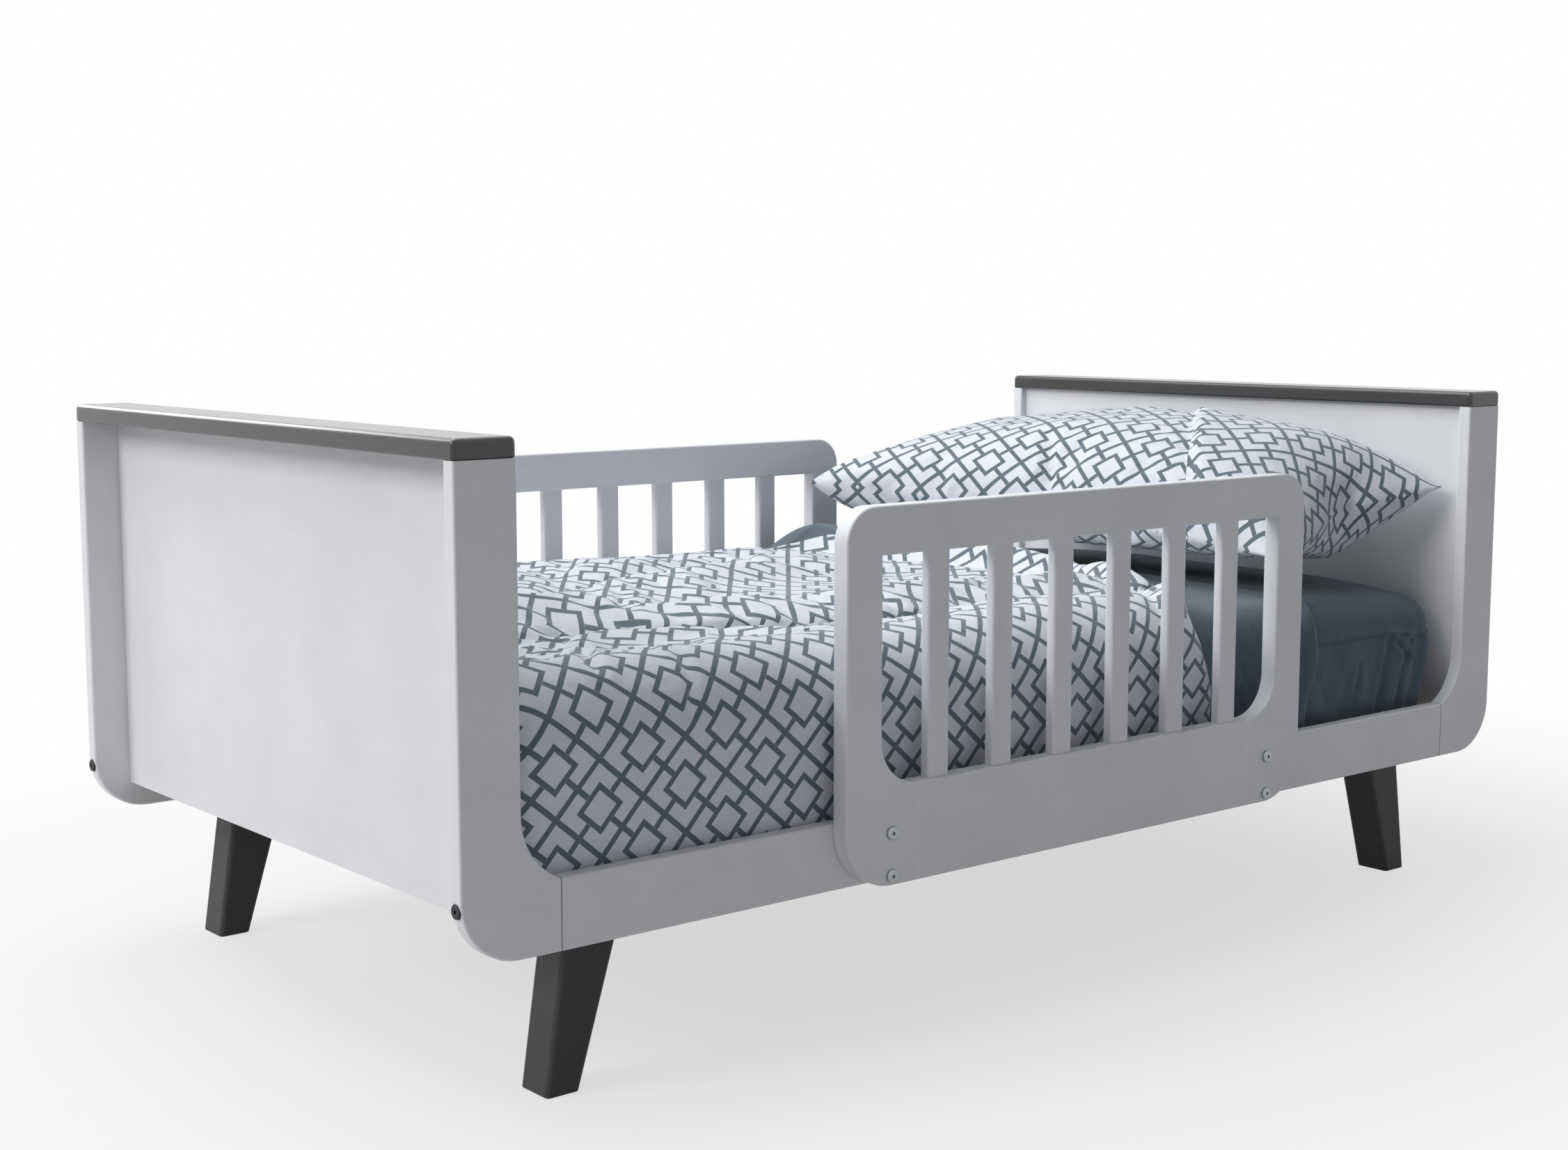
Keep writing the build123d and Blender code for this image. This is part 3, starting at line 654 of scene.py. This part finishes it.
def side_profile(grow, under, steps):
    """Insets and heights from under the mattress, up its side, over the rim and in to the middle."""
    low = pad_bottom - grow
    top = pad_top + grow - pad_crown
    rim = pad_rim + grow
    found = [(inset, low) for inset in under]
    for a in np.linspace(0, math.pi / 2, 5):
        found.append((under_edge * (1 - math.sin(a)), low + under_edge * (1 - math.cos(a))))
    found += [(0.0, z) for z in np.linspace(low + under_edge, top - rim, steps + 2)[1:-1]]
    for a in np.linspace(0, math.pi / 2, 9):
        found.append((rim * (1 - math.cos(a)), top - rim * (1 - math.sin(a))))
    for inset in np.linspace(rim, pad_half + grow, top_rings)[1:]:
        rise = pad_crown * (1 - (1 - (inset - rim) / (pad_half + grow - rim)) ** 2)
        found.append((inset, top + rise))
    return found


# %% Ticking and the mattress
stripe_pitch = 0.024
pad_grow = -0.003
pad_around = 420
tape_heights = (pad_bottom + 0.014, rim_foot)
quilt_pitch = 0.12
quilt_dent = 0.0016


def ticking():
    material, shader, flat, threads, slubs = cotton("ticking", 0.8, 0.1)
    stripe = abs((parts_of(flat)[0] * (1 / stripe_pitch)).math("FRACT") - 0.5).step(0.40, 0.43)
    tone = threads * 0.4 + slubs * 0.6
    ground = tone.between(colour(0.66, 0.64, 0.60), colour(0.78, 0.77, 0.74))
    stripe.between(ground, colour(0.30, 0.36, 0.44)).feeds(shader, "Base Color")
    return material


mattress_ticking = ticking()
under = np.linspace(pad_half, under_edge, 24)
profile = side_profile(pad_grow, under[:-1], 16)
rings, place, out_x, out_y = pad_rings(pad_grow, profile, pad_around)
draw_in(rings, out_x, out_y)
heights = rings[:, :, 2]
for tape in tape_heights:
    push_out(rings, 0.0012 * bell(heights - tape, 0.005), out_x, out_y)
quilting = np.cos(rings[:, :, :2] * 2 * math.pi / quilt_pitch)
dents = np.abs(quilt_dent * quilting[:, :, 0] * quilting[:, :, 1])
rings[:, :, 2] += np.where(heights > pad_top - 0.006, -dents, 0.0)
rings[:, :, 2] += np.where(heights < pad_bottom + 0.001, dents, 0.0)
flat = np.stack([rings[:, :, 0], rings[:, :, 1] + rings[:, :, 2]], axis=-1)
faces = quads(len(rings), pad_around, ring=True)
mattress = cloth_piece("foam_mattress", rings, flat, faces, [mattress_ticking])
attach(mattress, "mattress")
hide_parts("mattress")
print("mattress of", len(mattress.data.vertices), "points")

# %% [markdown]
# ## Fitted sheet
# The fitted sheet is stretched over the mattress and turns under it, where elastic gathers it. A seam runs
# round it below the rim, its corners drag a few slanting wrinkles, and the side is never quite smooth.
# Next to a corner the elastic draws the long side into gathers and a few deep pleats. Each pleat is given
# by where it starts and ends, as distance from the end and height, and by its depth and half width.

# %% The stretched cover
sheet_lift = 0.0008
sheet_around = 1200
side_rings = 90
side_ring = 40
turn_under = 0.060
turn_rings = 12
gather_pitch = 0.033
gather_height = 0.0060
elastic_pitch = 0.018
seam_drop = 0.014
deepest_push = -0.0020
pleats = (
    ((0.092, 0.286), (0.114, 0.205), 0.0050, 0.0050),
    ((0.064, 0.265), (0.078, 0.205), 0.0054, 0.0054),
    ((0.078, 0.284), (0.064, 0.265), 0.0034, 0.0036),
    ((0.052, 0.282), (0.064, 0.265), 0.0038, 0.0036),
    ((0.150, 0.262), (0.158, 0.235), 0.0022, 0.0040),
)
under = np.linspace(turn_under, under_edge, turn_rings)
profile = side_profile(sheet_lift, under[:-1], side_rings)
rings, place, out_x, out_y = pad_rings(sheet_lift, profile, sheet_around)
near_corner = bell(np.hypot(*from_edges(rings[side_ring])) - 0.02, 0.055)[None, :]
draw_in(rings, out_x, out_y)
heights = rings[:, :, 2]
ring_place = np.broadcast_to(place, heights.shape)
corner_pull = bell(np.abs(out_x * out_y) - 0.5, 0.42)[None, :]
on_side = smooth(heights, pad_bottom + 0.004, pad_bottom + 0.03)
on_side = on_side * (1 - smooth(heights, pad_top - 0.085, pad_top - 0.010))
drag = np.maximum(waves(ring_place - heights * 0.35, heights * 0.5, 0.07, 5, spread=0.6), 0)
creases = np.maximum(waves(ring_place + heights * 0.5, heights * 0.4, 0.095, 9, spread=0.8), 0)
low_side = 1 - smooth(heights, pad_bottom + 0.03, pad_bottom + 0.10)
push = on_side * (0.0070 * drag * corner_pull + 0.0050 * creases + 0.0060 * low_side * drag)
gather_phase = 2.4 * waves(ring_place, heights * 0.3, 0.11, 13)
gathers = np.cos(2 * math.pi * (ring_place - 0.22 * heights) / gather_pitch + gather_phase)
gathers = gather_height * (0.5 + 0.5 * gathers) ** 2.5
below_seam = 1 - smooth(heights, pad_top - 0.075, pad_top - 0.045)
push = push + gathers * near_corner * on_side * (0.35 + 0.65 * below_seam)
from_end, _ = from_edges(rings)
long_side = smooth(np.abs(out_y), 0.90, 0.98)[None, :]
for start, end, deep, wide in pleats:
    away = beside(from_end, heights, start, end)
    push += deep * long_side * (0.55 * bell(away - 2.0 * wide, 1.3 * wide) - bell(away, wide))
push *= 1 - 0.55 * smooth(out_x, 0.6, 0.95)
seam_height = rim_foot - seam_drop + 0.003 * waves(place, 0.0, 0.6, 3)[None, :]
seam_height = seam_height - 0.009 * near_corner
above_seam = heights - seam_height
push = push + 0.0016 * bell(above_seam - 0.002, 0.003) - 0.0022 * bell(above_seam + 0.002, 0.0022)
push_out(rings, np.maximum(push, deepest_push), out_x, out_y)
on_top = smooth(heights, pad_top - 0.035, pad_top - 0.006)
rings[:, :, 2] += on_top * 0.0012 * np.maximum(waves(rings[:, :, 0], rings[:, :, 1], 0.16, 11), 0)
turned = turn_rings - 1
elastic = np.linspace(1, 0, turned)[:, None] * np.sin(place * 2 * math.pi / elastic_pitch)[None, :]
rings[:turned, :, 2] -= 0.0002 * (1 + elastic)
flat = rings[:, :, :2].copy()
top_edge = len(profile) - top_rings
steps = np.hypot(*np.diff(np.array(profile), axis=0).T)
beyond = steps[:top_edge][::-1].cumsum()[::-1]
flat[:top_edge] = flat[top_edge] + beyond[:, None, None] * np.stack([out_x, out_y], axis=-1)
faces = quads(len(rings), sheet_around, ring=True)
fitted_sheet = cloth_piece("fitted_sheet_cover", rings, flat, faces, [slate])
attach(fitted_sheet, "mattress")
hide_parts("fitted_sheet")
fitted_drop = pad_top - pad_bottom + turn_under
fitted_cut = (2 * (pad_half + fitted_drop), 2 * (pad_reach + fitted_drop))
fitted_area = fitted_cut[0] * fitted_cut[1] - 4 * fitted_drop ** 2
print("fitted sheet cut", [round(v, 3) for v in fitted_cut])

# %% [markdown]
# ## Top sheet
# The flat sheet lies under the comforter and hangs down both sides inside the rails. Its free edge at the
# head end shows as a soft ridge beside the pillow. It is laid over the mattress by rule, with long shallow
# folds that run along the bed on top and hang straight down the sides.

# %% The flat sheet
top_low, top_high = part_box("top_sheet")
top_lift = 0.0034
top_grid = (150, 170)
cloth_thickness = 0.0012
hem_ridge = 0.0085
top_reach = reach_to(hem_height, top_lift)
x_steps = np.linspace(top_low.x, top_high.x, top_grid[0])
s_steps = np.linspace(-top_reach, top_reach, top_grid[1])
bed_x, across = np.meshgrid(x_steps, s_steps, indexing="ij")
y, z, out_y, out_z = over_mattress(across, top_lift)
hanging = smooth(np.abs(across), flat_half, flat_half + 0.05)
free_edge = top_high.x - bed_x
fold = 0.0022 * np.maximum(waves(bed_x, across, 0.10, 21, spread=1.2), 0) * hanging
fold += 0.0014 * np.maximum(waves(bed_x, across, 0.20, 22), 0)
ridge_line = free_edge - 0.012 - 0.004 * waves(across, 0.0, 0.2, 23)
ridge = hem_ridge * bell(ridge_line, 0.010) * hanging
hem_fold = cloth_thickness * smooth(free_edge, 0.028, 0.022)
lift = fold + ridge + hem_fold
edge_wave = 0.008 * waves(across, 0.0, 0.24, 24) - 0.014 * hanging
edge_wave += 0.014 * bell(np.abs(across) - 0.405, 0.035)
edge_x = bed_x + edge_wave * smooth(bed_x, top_high.x - 0.3, top_high.x)
points = np.stack([edge_x, y + out_y * lift, z + out_z * lift], axis=-1)
flat = np.stack([bed_x, across], axis=-1)
top_sheet = cloth_piece("top_sheet_cloth", points, flat, quads(*top_grid), [slate])
hem = top_sheet.modifiers.new("hem", "SOLIDIFY")
hem.thickness = cloth_thickness
hem.offset = 1.0
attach(top_sheet, "mattress")
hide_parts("top_sheet")
top_cut = (2 * top_reach, top_high.x - top_low.x)
print("top sheet cut", [round(v, 3) for v in top_cut])

# %% [markdown]
# ## Comforter
# The comforter is two layers of cotton with filling between them. Two sewn creases run along the bed and
# leave three soft bulges, the near side is tucked inside the rail, and the head edge lies a little askew.
# Where the far part of the head edge is turned over, the slate lining shows. The bulges are shaped first,
# and then the piece is blown up with its underside and creases held, so that the spare cloth puckers along
# the seams as a real quilt does.

# %% The comforter's outline
comforter_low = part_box("comforter")[0]
under_lift = 0.0064
side_from = 0.31
side_to = 0.37
hem_reach = reach_to(hem_height, under_lift)


def eased(stations, values, at, width):
    """A soft line through the values at the stations, read at any places."""
    fine = np.linspace(stations[0], stations[-1], 241)
    line = np.interp(fine, stations, values)
    half = max(1, round(width / (fine[1] - fine[0]) / 2))
    kernel = np.hanning(2 * half + 3)[1:-1]
    line = np.convolve(np.pad(line, half, mode="edge"), kernel / kernel.sum(), mode="valid")
    return np.interp(at, fine, line)


def head_edge(across):
    """How far up the bed the comforter reaches at each place across it."""
    stations = (-0.48, -0.42, -0.385, -0.345, -0.31, -0.26, -0.20, -0.10, 0.0, 0.30, 0.36, 0.40, 0.48)
    reach = (0.230, 0.234, 0.219, 0.198, 0.240, 0.268, 0.288, 0.302, 0.306, 0.300, 0.27, 0.245, 0.24)
    return eased(stations, reach, across, 0.04)


def crease_lines(x):
    """Where the near and the far sewn crease run, at each place along the bed."""
    stations = (-0.70, -0.45, -0.386, -0.30, -0.17, 0.0, 0.32)
    near = eased(stations, (-0.110, -0.115, -0.145, -0.185, -0.212, -0.228, -0.255), x, 0.05)
    far = eased(stations, (0.050, 0.055, 0.060, 0.075, 0.125, 0.185, 0.250), x, 0.05)
    return near, far


def smooth_roll(distance, radius):
    """A round edge: 0 at the edge and 1 a radius away from it."""
    t = np.clip(distance / radius, 0, 1)
    return np.sqrt(np.maximum(1 - (1 - t) ** 2, 0))


def roll_offset(across):
    """How far from the head edge the crease lies that sets off the rolled edge."""
    stations = (-0.5, -0.3, -0.1, 0.05, 0.25, 0.5)
    return eased(stations, (0.05, 0.06, 0.07, 0.085, 0.125, 0.13), across, 0.06)


print("comforter reaches up to", round(float(head_edge(np.array(0.0))), 3), "in the middle")

# %% [markdown]
# A tuck is a groove between two places, with its depth and half width, and a pinch is a dent with rays
# round it. A place is given as how far along the bed and how far across it lies.

# %% The comforter's thickness
seam_thickness = 0.004
least_filling = 0.003
head_roll = 0.034
foot_roll = 0.036
tucks = (
    ((-0.500, -0.225), (-0.566, -0.325), 0.0045, 0.0065),
    ((-0.470, -0.322), (-0.486, -0.357), 0.0035, 0.006),
    ((-0.610, -0.150), (-0.640, -0.260), 0.005, 0.008),
    ((-0.560, -0.085), (-0.455, -0.150), 0.005, 0.009),
    ((-0.620, -0.020), (-0.540, 0.020), 0.005, 0.010),
)
pinches = (
    (-0.610, -0.215, 0.006, 0.020), (-0.545, 0.030, 0.006, 0.026), (-0.340, -0.050, 0.005, 0.024),
    (-0.150, -0.090, 0.005, 0.024), (0.090, -0.150, 0.005, 0.024), (-0.470, 0.210, 0.006, 0.026),
    (-0.230, 0.230, 0.005, 0.024), (0.060, 0.060, 0.005, 0.024),
)
crease_shapes = (
    dict(deep=0.014, before=0.032, beyond=0.022, lip_before=0.0, lip_beyond=0.013, lean=0.012),
    dict(deep=0.021, before=0.018, beyond=0.055, lip_before=0.014, lip_beyond=0.0, lean=0.008),
)


def comforter_loft(x, across, from_head, from_foot):
    """How thick the comforter is above its underside."""
    reach = np.abs(across)
    stations = (0.0, 0.18, 0.22, 0.26, 0.30, 0.335, 0.36, 0.40, 0.44, 0.50)
    near_side = (0.019, 0.017, 0.0175, 0.0215, 0.0260, 0.0275, 0.0245, 0.0185, 0.0135, 0.0085)
    far_side = (0.019, 0.020, 0.0215, 0.0225, 0.0220, 0.020, 0.0175, 0.0155, 0.0125, 0.0085)
    near_loft = eased(stations, near_side, reach, 0.03)
    loft = np.where(across < 0, near_loft, eased(stations, far_side, reach, 0.03))
    on_top = 1 - smooth(reach, side_from, side_to)
    loft += on_top * 0.003 * waves(x, across * 0.5, 0.34, 31)
    loft += on_top * smooth(across, 0.12, 0.26) * (0.006 - 0.010 * (x + 0.24))
    for number, line in enumerate(crease_lines(x)):
        away = across - line - 0.006 * waves(x, 0.0, 0.16, 41 + number)
        shape = crease_shapes[number]
        depth = (shape["deep"] + 0.003 * waves(x, 0.0, 0.22, 51 + number)) * smooth(x, -0.55, -0.42)
        loft -= on_top * depth * bell(away, np.where(away < 0, shape["before"], shape["beyond"]))
        lips = shape["lip_beyond"] * bell(away - 0.065, 0.045)
        lips += shape["lip_before"] * bell(away + 0.050, 0.065) * (1 - smooth(x, 0.04, 0.16))
        loft += on_top * smooth(x, -0.60, -0.46) * lips
        puckers = waves(x + 0.25 * np.abs(away), 0.0, 0.040, 61 + number, spread=0.2)
        loft += on_top * 0.0035 * puckers * bell(away, 0.050) * (1 - 0.5 * bell(away, 0.012))
    messy = bell(x + 0.58, 0.09) * bell(across + 0.14, 0.14)
    rumples = 0.0035 * waves(x, across, 0.050, 71) + 0.0020 * waves(x, across, 0.026, 73)
    loft += on_top * rumples * messy
    foot_puckers = 0.0040 * waves(across, 0.0, 0.055, 72, spread=0.2)
    loft += on_top * foot_puckers * bell(from_foot - 0.02, 0.06)
    for start, end, deep, wide in tucks:
        away = beside(x, across, start, end)
        loft += deep * (0.4 * bell(away - 1.9 * wide, 1.2 * wide) - bell(away, wide))
    for along_bed, over_bed, deep, wide in pinches:
        distance = np.hypot(x - along_bed, across - over_bed)
        rays = np.cos(7 * np.arctan2(across - over_bed, x - along_bed) + 5 * along_bed)
        loft += 0.25 * deep * rays * bell(distance - 1.6 * wide, 1.1 * wide) - deep * bell(distance, wide)
    offset = roll_offset(across)
    hump = 0.004 + 0.013 * smooth(across, -0.26, 0.0) + 0.007 * smooth(across, 0.08, 0.24)
    loft += on_top * hump * bell(from_head - 0.42 * offset, 0.38 * offset)
    loft -= on_top * 0.009 * bell(from_head - offset, 0.24 * offset)
    roll = np.minimum(smooth_roll(from_head, head_roll), smooth_roll(from_foot, foot_roll))
    return seam_thickness + np.maximum(loft - seam_thickness, least_filling) * roll


# %% Two layers sewn together
quilt_grid = (180, 220)
end_rows = 20
share = np.linspace(0, 1, quilt_grid[0])
share = share - 0.035 * np.sin(2 * math.pi * share)
s_steps = np.linspace(-hem_reach, hem_reach, quilt_grid[1])
along, across = np.meshgrid(share, s_steps, indexing="ij")
edge = head_edge(across)
foot_x = comforter_low.x + 0.001
bed_x = foot_x + along * (edge - foot_x)
y, z, out_y, out_z = over_mattress(across, under_lift)
loft = comforter_loft(bed_x, across, edge - bed_x, bed_x - foot_x)
on_top = 1 - smooth(np.abs(across), side_from, side_to)
lean = np.zeros(bed_x.shape)
for line, shape in zip(crease_lines(bed_x), crease_shapes):
    lean -= shape["lean"] * on_top * bell(across - line - 0.018, 0.016) * smooth(bed_x, -0.52, -0.42)
under_points = np.stack([bed_x, y, z], axis=-1)
outer_points = np.stack([bed_x, y + out_y * loft + lean, z + out_z * loft], axis=-1)
section = outer_points[end_rows:-end_rows].mean(axis=0)[:, 1:]
run = np.linalg.norm(np.diff(section, axis=0), axis=1)
run = np.concatenate([[0], np.cumsum(run)])
flat = np.stack([bed_x, np.broadcast_to(run, bed_x.shape)], axis=-1)
total = quilt_grid[0] * quilt_grid[1]
faces = [quads(*quilt_grid), quads(*quilt_grid, total, flip=True)]
index = np.arange(total).reshape(quilt_grid)
rim = np.concatenate([index[0, :-1], index[:-1, -1], index[-1, :0:-1], index[:0:-1, 0]])
after = np.roll(rim, -1)
faces.append(np.stack([after, rim, rim + total, after + total], axis=1))
finish_number = [np.zeros(len(faces[0])), np.ones(len(faces[1])), np.zeros(len(faces[2]))]
comforter = cloth_piece(
    "quilted_comforter",
    np.concatenate([outer_points.reshape(-1, 3), under_points.reshape(-1, 3)]),
    np.concatenate([flat.reshape(-1, 2), flat.reshape(-1, 2)]),
    np.concatenate(faces),
    [comforter_print, slate],
    np.concatenate(finish_number),
)
turned_over = (0.44 + 0.25 * across + 0.5 * smooth(across, 0.26, 0.335)) * roll_offset(across)
turned_over = turned_over * smooth(across, -0.02, 0.17) - 0.002
turned_over += 0.004 * waves(across, 0.0, 0.09, 33)
lining = np.zeros(2 * total, np.float32)
lining[:total] = (turned_over - (edge - bed_x)).ravel()
comforter.data.attributes.new("lining", "FLOAT", "POINT").data.foreach_set("value", lining)
print("comforter of", len(comforter.data.vertices), "points, outer run", round(float(run[-1]), 3))

# %% Fill the comforter
held = np.zeros(2 * total)
held[total:] = 1.0
outer_held = np.zeros(across.shape)
for line in crease_lines(bed_x):
    outer_held[np.abs(across - line) < 0.004] = 0.6
outer_held[np.abs(across) > side_from] = 0.85
outer_held[outer_points[:, :, 2] < rail_top + 0.06] = 1.0
held[:total] = outer_held.ravel()
blow_up(comforter, held, pressure=1.0, slack=0.022, frames=16, limit=0.007)
refine(comforter)
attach(comforter, "comforter")
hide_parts("comforter")

# %% [markdown]
# ## Pillow
# The pillow is two flat panels sewn together all round and stuffed hard. Its corners stay thin and stand
# out, and its sides draw in between them. Blowing up the flat panels gives exactly that, with the little
# puckers along the seam; only its near end is evened out again. It is then set down on the bed: its four
# corners go where the photograph shows them, its foot part lies on the comforter's rolled edge, and its
# underside is pressed flat where it rests.

# %% Two flat panels
pillow_cut = (0.485, 0.700)
pillow_grid = (62, 88)
start_fill = 0.055
calm_rounds = 14
panel_u = np.linspace(-0.5, 0.5, pillow_grid[0]) * pillow_cut[0]
panel_v = np.linspace(-0.5, 0.5, pillow_grid[1]) * pillow_cut[1]
u, v = np.meshgrid(panel_u, panel_v, indexing="ij")
half_cut = pillow_cut[1] / 2
inside = np.minimum(pillow_cut[0] / 2 - np.abs(u), half_cut - np.abs(v))
start_height = start_fill * (1 - np.exp(-inside / 0.045))
upper = np.stack([u, v, start_height], axis=-1).reshape(-1, 3)
lower = np.stack([u, v, -start_height], axis=-1).reshape(-1, 3)
count = pillow_grid[0] * pillow_grid[1]
index = np.arange(count).reshape(pillow_grid)
seam = np.zeros(pillow_grid, bool)
seam[[0, -1], :] = True
seam[:, [0, -1]] = True
lower_index = np.where(seam, index, 0)
inner = ~seam
lower_index[inner] = count + np.arange(inner.sum())
top_faces = quads(*pillow_grid, flip=True)
bottom_faces = lower_index.ravel()[quads(*pillow_grid)]
points = np.concatenate([upper, lower.reshape(*pillow_grid, 3)[inner]])
flat = np.stack([u, v], axis=-1)
flat = np.concatenate([flat.reshape(-1, 2), flat[inner]])
faces = np.concatenate([top_faces, bottom_faces])
pillow = cloth_piece("stuffed_pillow", points, flat, faces, [pillow_print])
free = np.zeros(len(points))
blow_up(pillow, free, pressure=5.0, slack=0.0, frames=30, limit=0.2, stiffness=20.0, bending=0.3)
shaped = points_of(pillow.data)
share = (1 - smooth(panel_v, -0.24, -0.12))[None, 1:-1, None]
for panel in (index, lower_index):
    for _ in range(calm_rounds):
        grid = shaped[panel]
        calm = (grid[:-2, 1:-1] + grid[2:, 1:-1] + grid[1:-1, :-2] + grid[1:-1, 2:]) / 4
        shaped[panel[1:-1, 1:-1]] += (calm - grid[1:-1, 1:-1]) * share
powers = [(a, b) for a in range(4) for b in range(6)]
terms = np.stack([(u / half_cut) ** a * (v / half_cut) ** b for a, b in powers], axis=-1)
evened = (1 - smooth(v, -0.24, -0.10)) * smooth(inside, 0.0, 0.05)
for panel in (index, lower_index):
    grid = shaped[panel]
    fit = np.linalg.lstsq(terms.reshape(count, -1), grid[:, :, :2].reshape(count, 2), rcond=None)[0]
    grid[:, :, :2] += (terms @ fit - grid[:, :, :2]) * evened[:, :, None]
    shaped[panel] = grid
print("pillow measures", [round(float(w), 3) for w in shaped.max(axis=0) - shaped.min(axis=0)])

# %% Set the pillow on the bed
pillow_corners = {
    (-1, -1): Vector((0.374, -0.335, 0.395)),
    (1, -1): Vector((0.667, -0.356, 0.466)),
    (-1, 1): Vector((0.231, 0.328, 0.450)),
    (1, 1): Vector((0.652, 0.334, 0.472)),
}
pillow_crown = 0.545
pillow_base = pad_top + 0.0062
press_depth = 0.012
half_u, half_v, half_z = (shaped.max(axis=0) - shaped.min(axis=0)) / 2
centre = (shaped.max(axis=0) + shaped.min(axis=0)) / 2
part_u = (shaped[:, 0] - centre[0]) / half_u
part_v = (shaped[:, 1] - centre[1]) / half_v
seat = np.zeros_like(shaped)
for (side_u, side_v), corner in pillow_corners.items():
    weight = (1 + side_u * part_u) * (1 + side_v * part_v) / 4
    seat += weight[:, None] * np.array(corner)
middle = float(seat[:, 2].mean())
height = (shaped[:, 2] - centre[2]) / half_z
near_end = np.clip(-part_v, 0, 1)
foot_side = np.clip(-part_u, 0, 1)
lower_fill = 1 - 0.2 * near_end
lower_fill *= 1 - (1 - np.sqrt(1 - foot_side ** 2.2)) * (1 - smooth(part_v, -0.2, 0.3))
upper_rise = height * (pillow_crown - middle)
lower_rise = height * lower_fill * (middle - pillow_base + 0.02)
rise = np.where(height > 0, upper_rise, lower_rise)
rise *= 1 - 0.16 * part_v
fold = flat[:, 1] - pillow_fold[0] - pillow_fold[1] * flat[:, 0]
on_upper = smooth(shaped[:, 2] - centre[2], 0.0, 0.04)
rise += on_upper * np.where(fold < 0, 0.009 * np.exp(fold / 0.045), -0.004 * bell(fold, 0.016))
wrinkles = waves(flat[:, 0], flat[:, 1] * 0.6, 0.030, 81) * bell(fold - 0.035, 0.035)
rise += on_upper * 0.0028 * wrinkles * bell(flat[:, 0] + 0.11, 0.09)
placed = seat.copy()
placed[:, 2] += rise
bed = pillow_base + 0.034 * (1 - smooth(placed[:, 0], 0.46, 0.66))
below = placed[:, 2] - bed
pressed = press_depth * np.exp((below - press_depth) / press_depth)
placed[:, 2] = bed + np.where(below > press_depth, below, pressed)
pillow.data.vertices.foreach_set("co", placed.astype(np.float32).ravel())
drawn_in = np.zeros((len(placed), 3), np.float32)
drawn_in[:, :2] = flat
drawn_in[:, 0] *= 1 - 0.09 * (1 - part_v)
pillow.data.attributes["cloth"].data.foreach_set("vector", drawn_in.ravel())
pillow.data.update()
refine(pillow)
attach(pillow, "pillow")
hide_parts("pillow")
print("pillow crown at", round(float(placed[:, 2].max()), 3))

# %% [markdown]
# ## Floor and light
# A product photograph is lit by large soft lamps in a pale room. The strongest light comes from beyond the
# foot end, so the end boards are bright and the long side is in half shade. A lamp behind the bed draws
# the bright line on the edge of the caps, and one above it lights the bedding. The floor fades to plain
# white away from the bed, only where it is seen, and keeps the bed's soft shadow.

# %% Studio
floor_reach = 7.0
paper_white = colour(1.0, 1.0, 1.0)


def seen_directly(kit):
    """1 for what the camera sees, also in a reflection or through glass, and 0 for other light."""
    ray = kit.node("LightPath", output="Is Camera Ray")
    glossy = Wire(ray.tree, ray.socket.node.outputs["Is Glossy Ray"])
    through = Wire(ray.tree, ray.socket.node.outputs["Is Transmission Ray"])
    return ray.math("MAXIMUM", glossy.math("MAXIMUM", through))


def studio_floor():
    constants = {"Roughness": 0.7, "Base Color": colour(0.56, 0.56, 0.57)}
    material, kit, shader = new_finish("pale_floor", constants)
    place = kit.node("TexCoord", output="Object")
    oval = stretched(place, (0.8, 1.0, 1.0))
    away = kit.node("VectorMath", {"operation": "LENGTH"}, {0: oval}, "Value")
    white = kit.node("Emission", None, {"Color": paper_white, "Strength": 1.0})
    fade = (away.step(0.4, 1.5) * 0.35 + 0.65) * seen_directly(kit)
    lit = Wire(kit.tree, shader.outputs[0])
    both = kit.node("MixShader", None, {0: fade, 1: lit, 2: white})
    kit.tree.links.new(both.socket, kit.tree.nodes["Material Output"].inputs["Surface"])
    return material


floor_mesh = bpy.data.meshes.new("floor")
floor_corners = [(x * floor_reach, y * floor_reach, 0) for x, y in ((-1, -1), (1, -1), (1, 1), (-1, 1))]
floor_mesh.from_pydata(floor_corners, [], [(0, 1, 2, 3)])
floor_mesh.materials.append(studio_floor())
floor = add_object("floor", floor_mesh)

world = bpy.data.worlds.new("studio")
world.use_nodes = True
scene.world = world
room = Wire(world.node_tree)
background = world.node_tree.nodes["Background"]
seen_directly(room).between(colour(0.224, 0.229, 0.240), paper_white).feeds(background, "Color")
background.inputs["Strength"].default_value = 1.0


def soft_lamp(name, place, target, size, power, tint):
    lamp = bpy.data.lights.new(name, "AREA")
    lamp.shape = "RECTANGLE"
    lamp.size, lamp.size_y = size
    lamp.energy = power
    lamp.color = tint
    made = add_object(name, lamp)
    aim(made, place, Vector(target) - Vector(place))
    return made


lamps = [
    soft_lamp("foot_lamp", (-5.0, 1.0, 3.3), (0.0, 0.0, 0.35), (2.6, 2.2), 145.0, (1.0, 0.99, 0.98)),
    soft_lamp("rim_lamp", (-1.1, 4.6, 2.5), (-0.4, 0.0, 0.45), (2.4, 1.4), 50.0, (1.0, 1.0, 1.0)),
    soft_lamp("top_lamp", (-0.5, 0.7, 2.5), (0.0, 0.0, 0.3), (2.4, 2.0), 48.0, (0.92, 0.965, 1.0)),
]
scene.view_settings.view_transform = "Standard"
print("lamps:", [lamp.name for lamp in lamps])
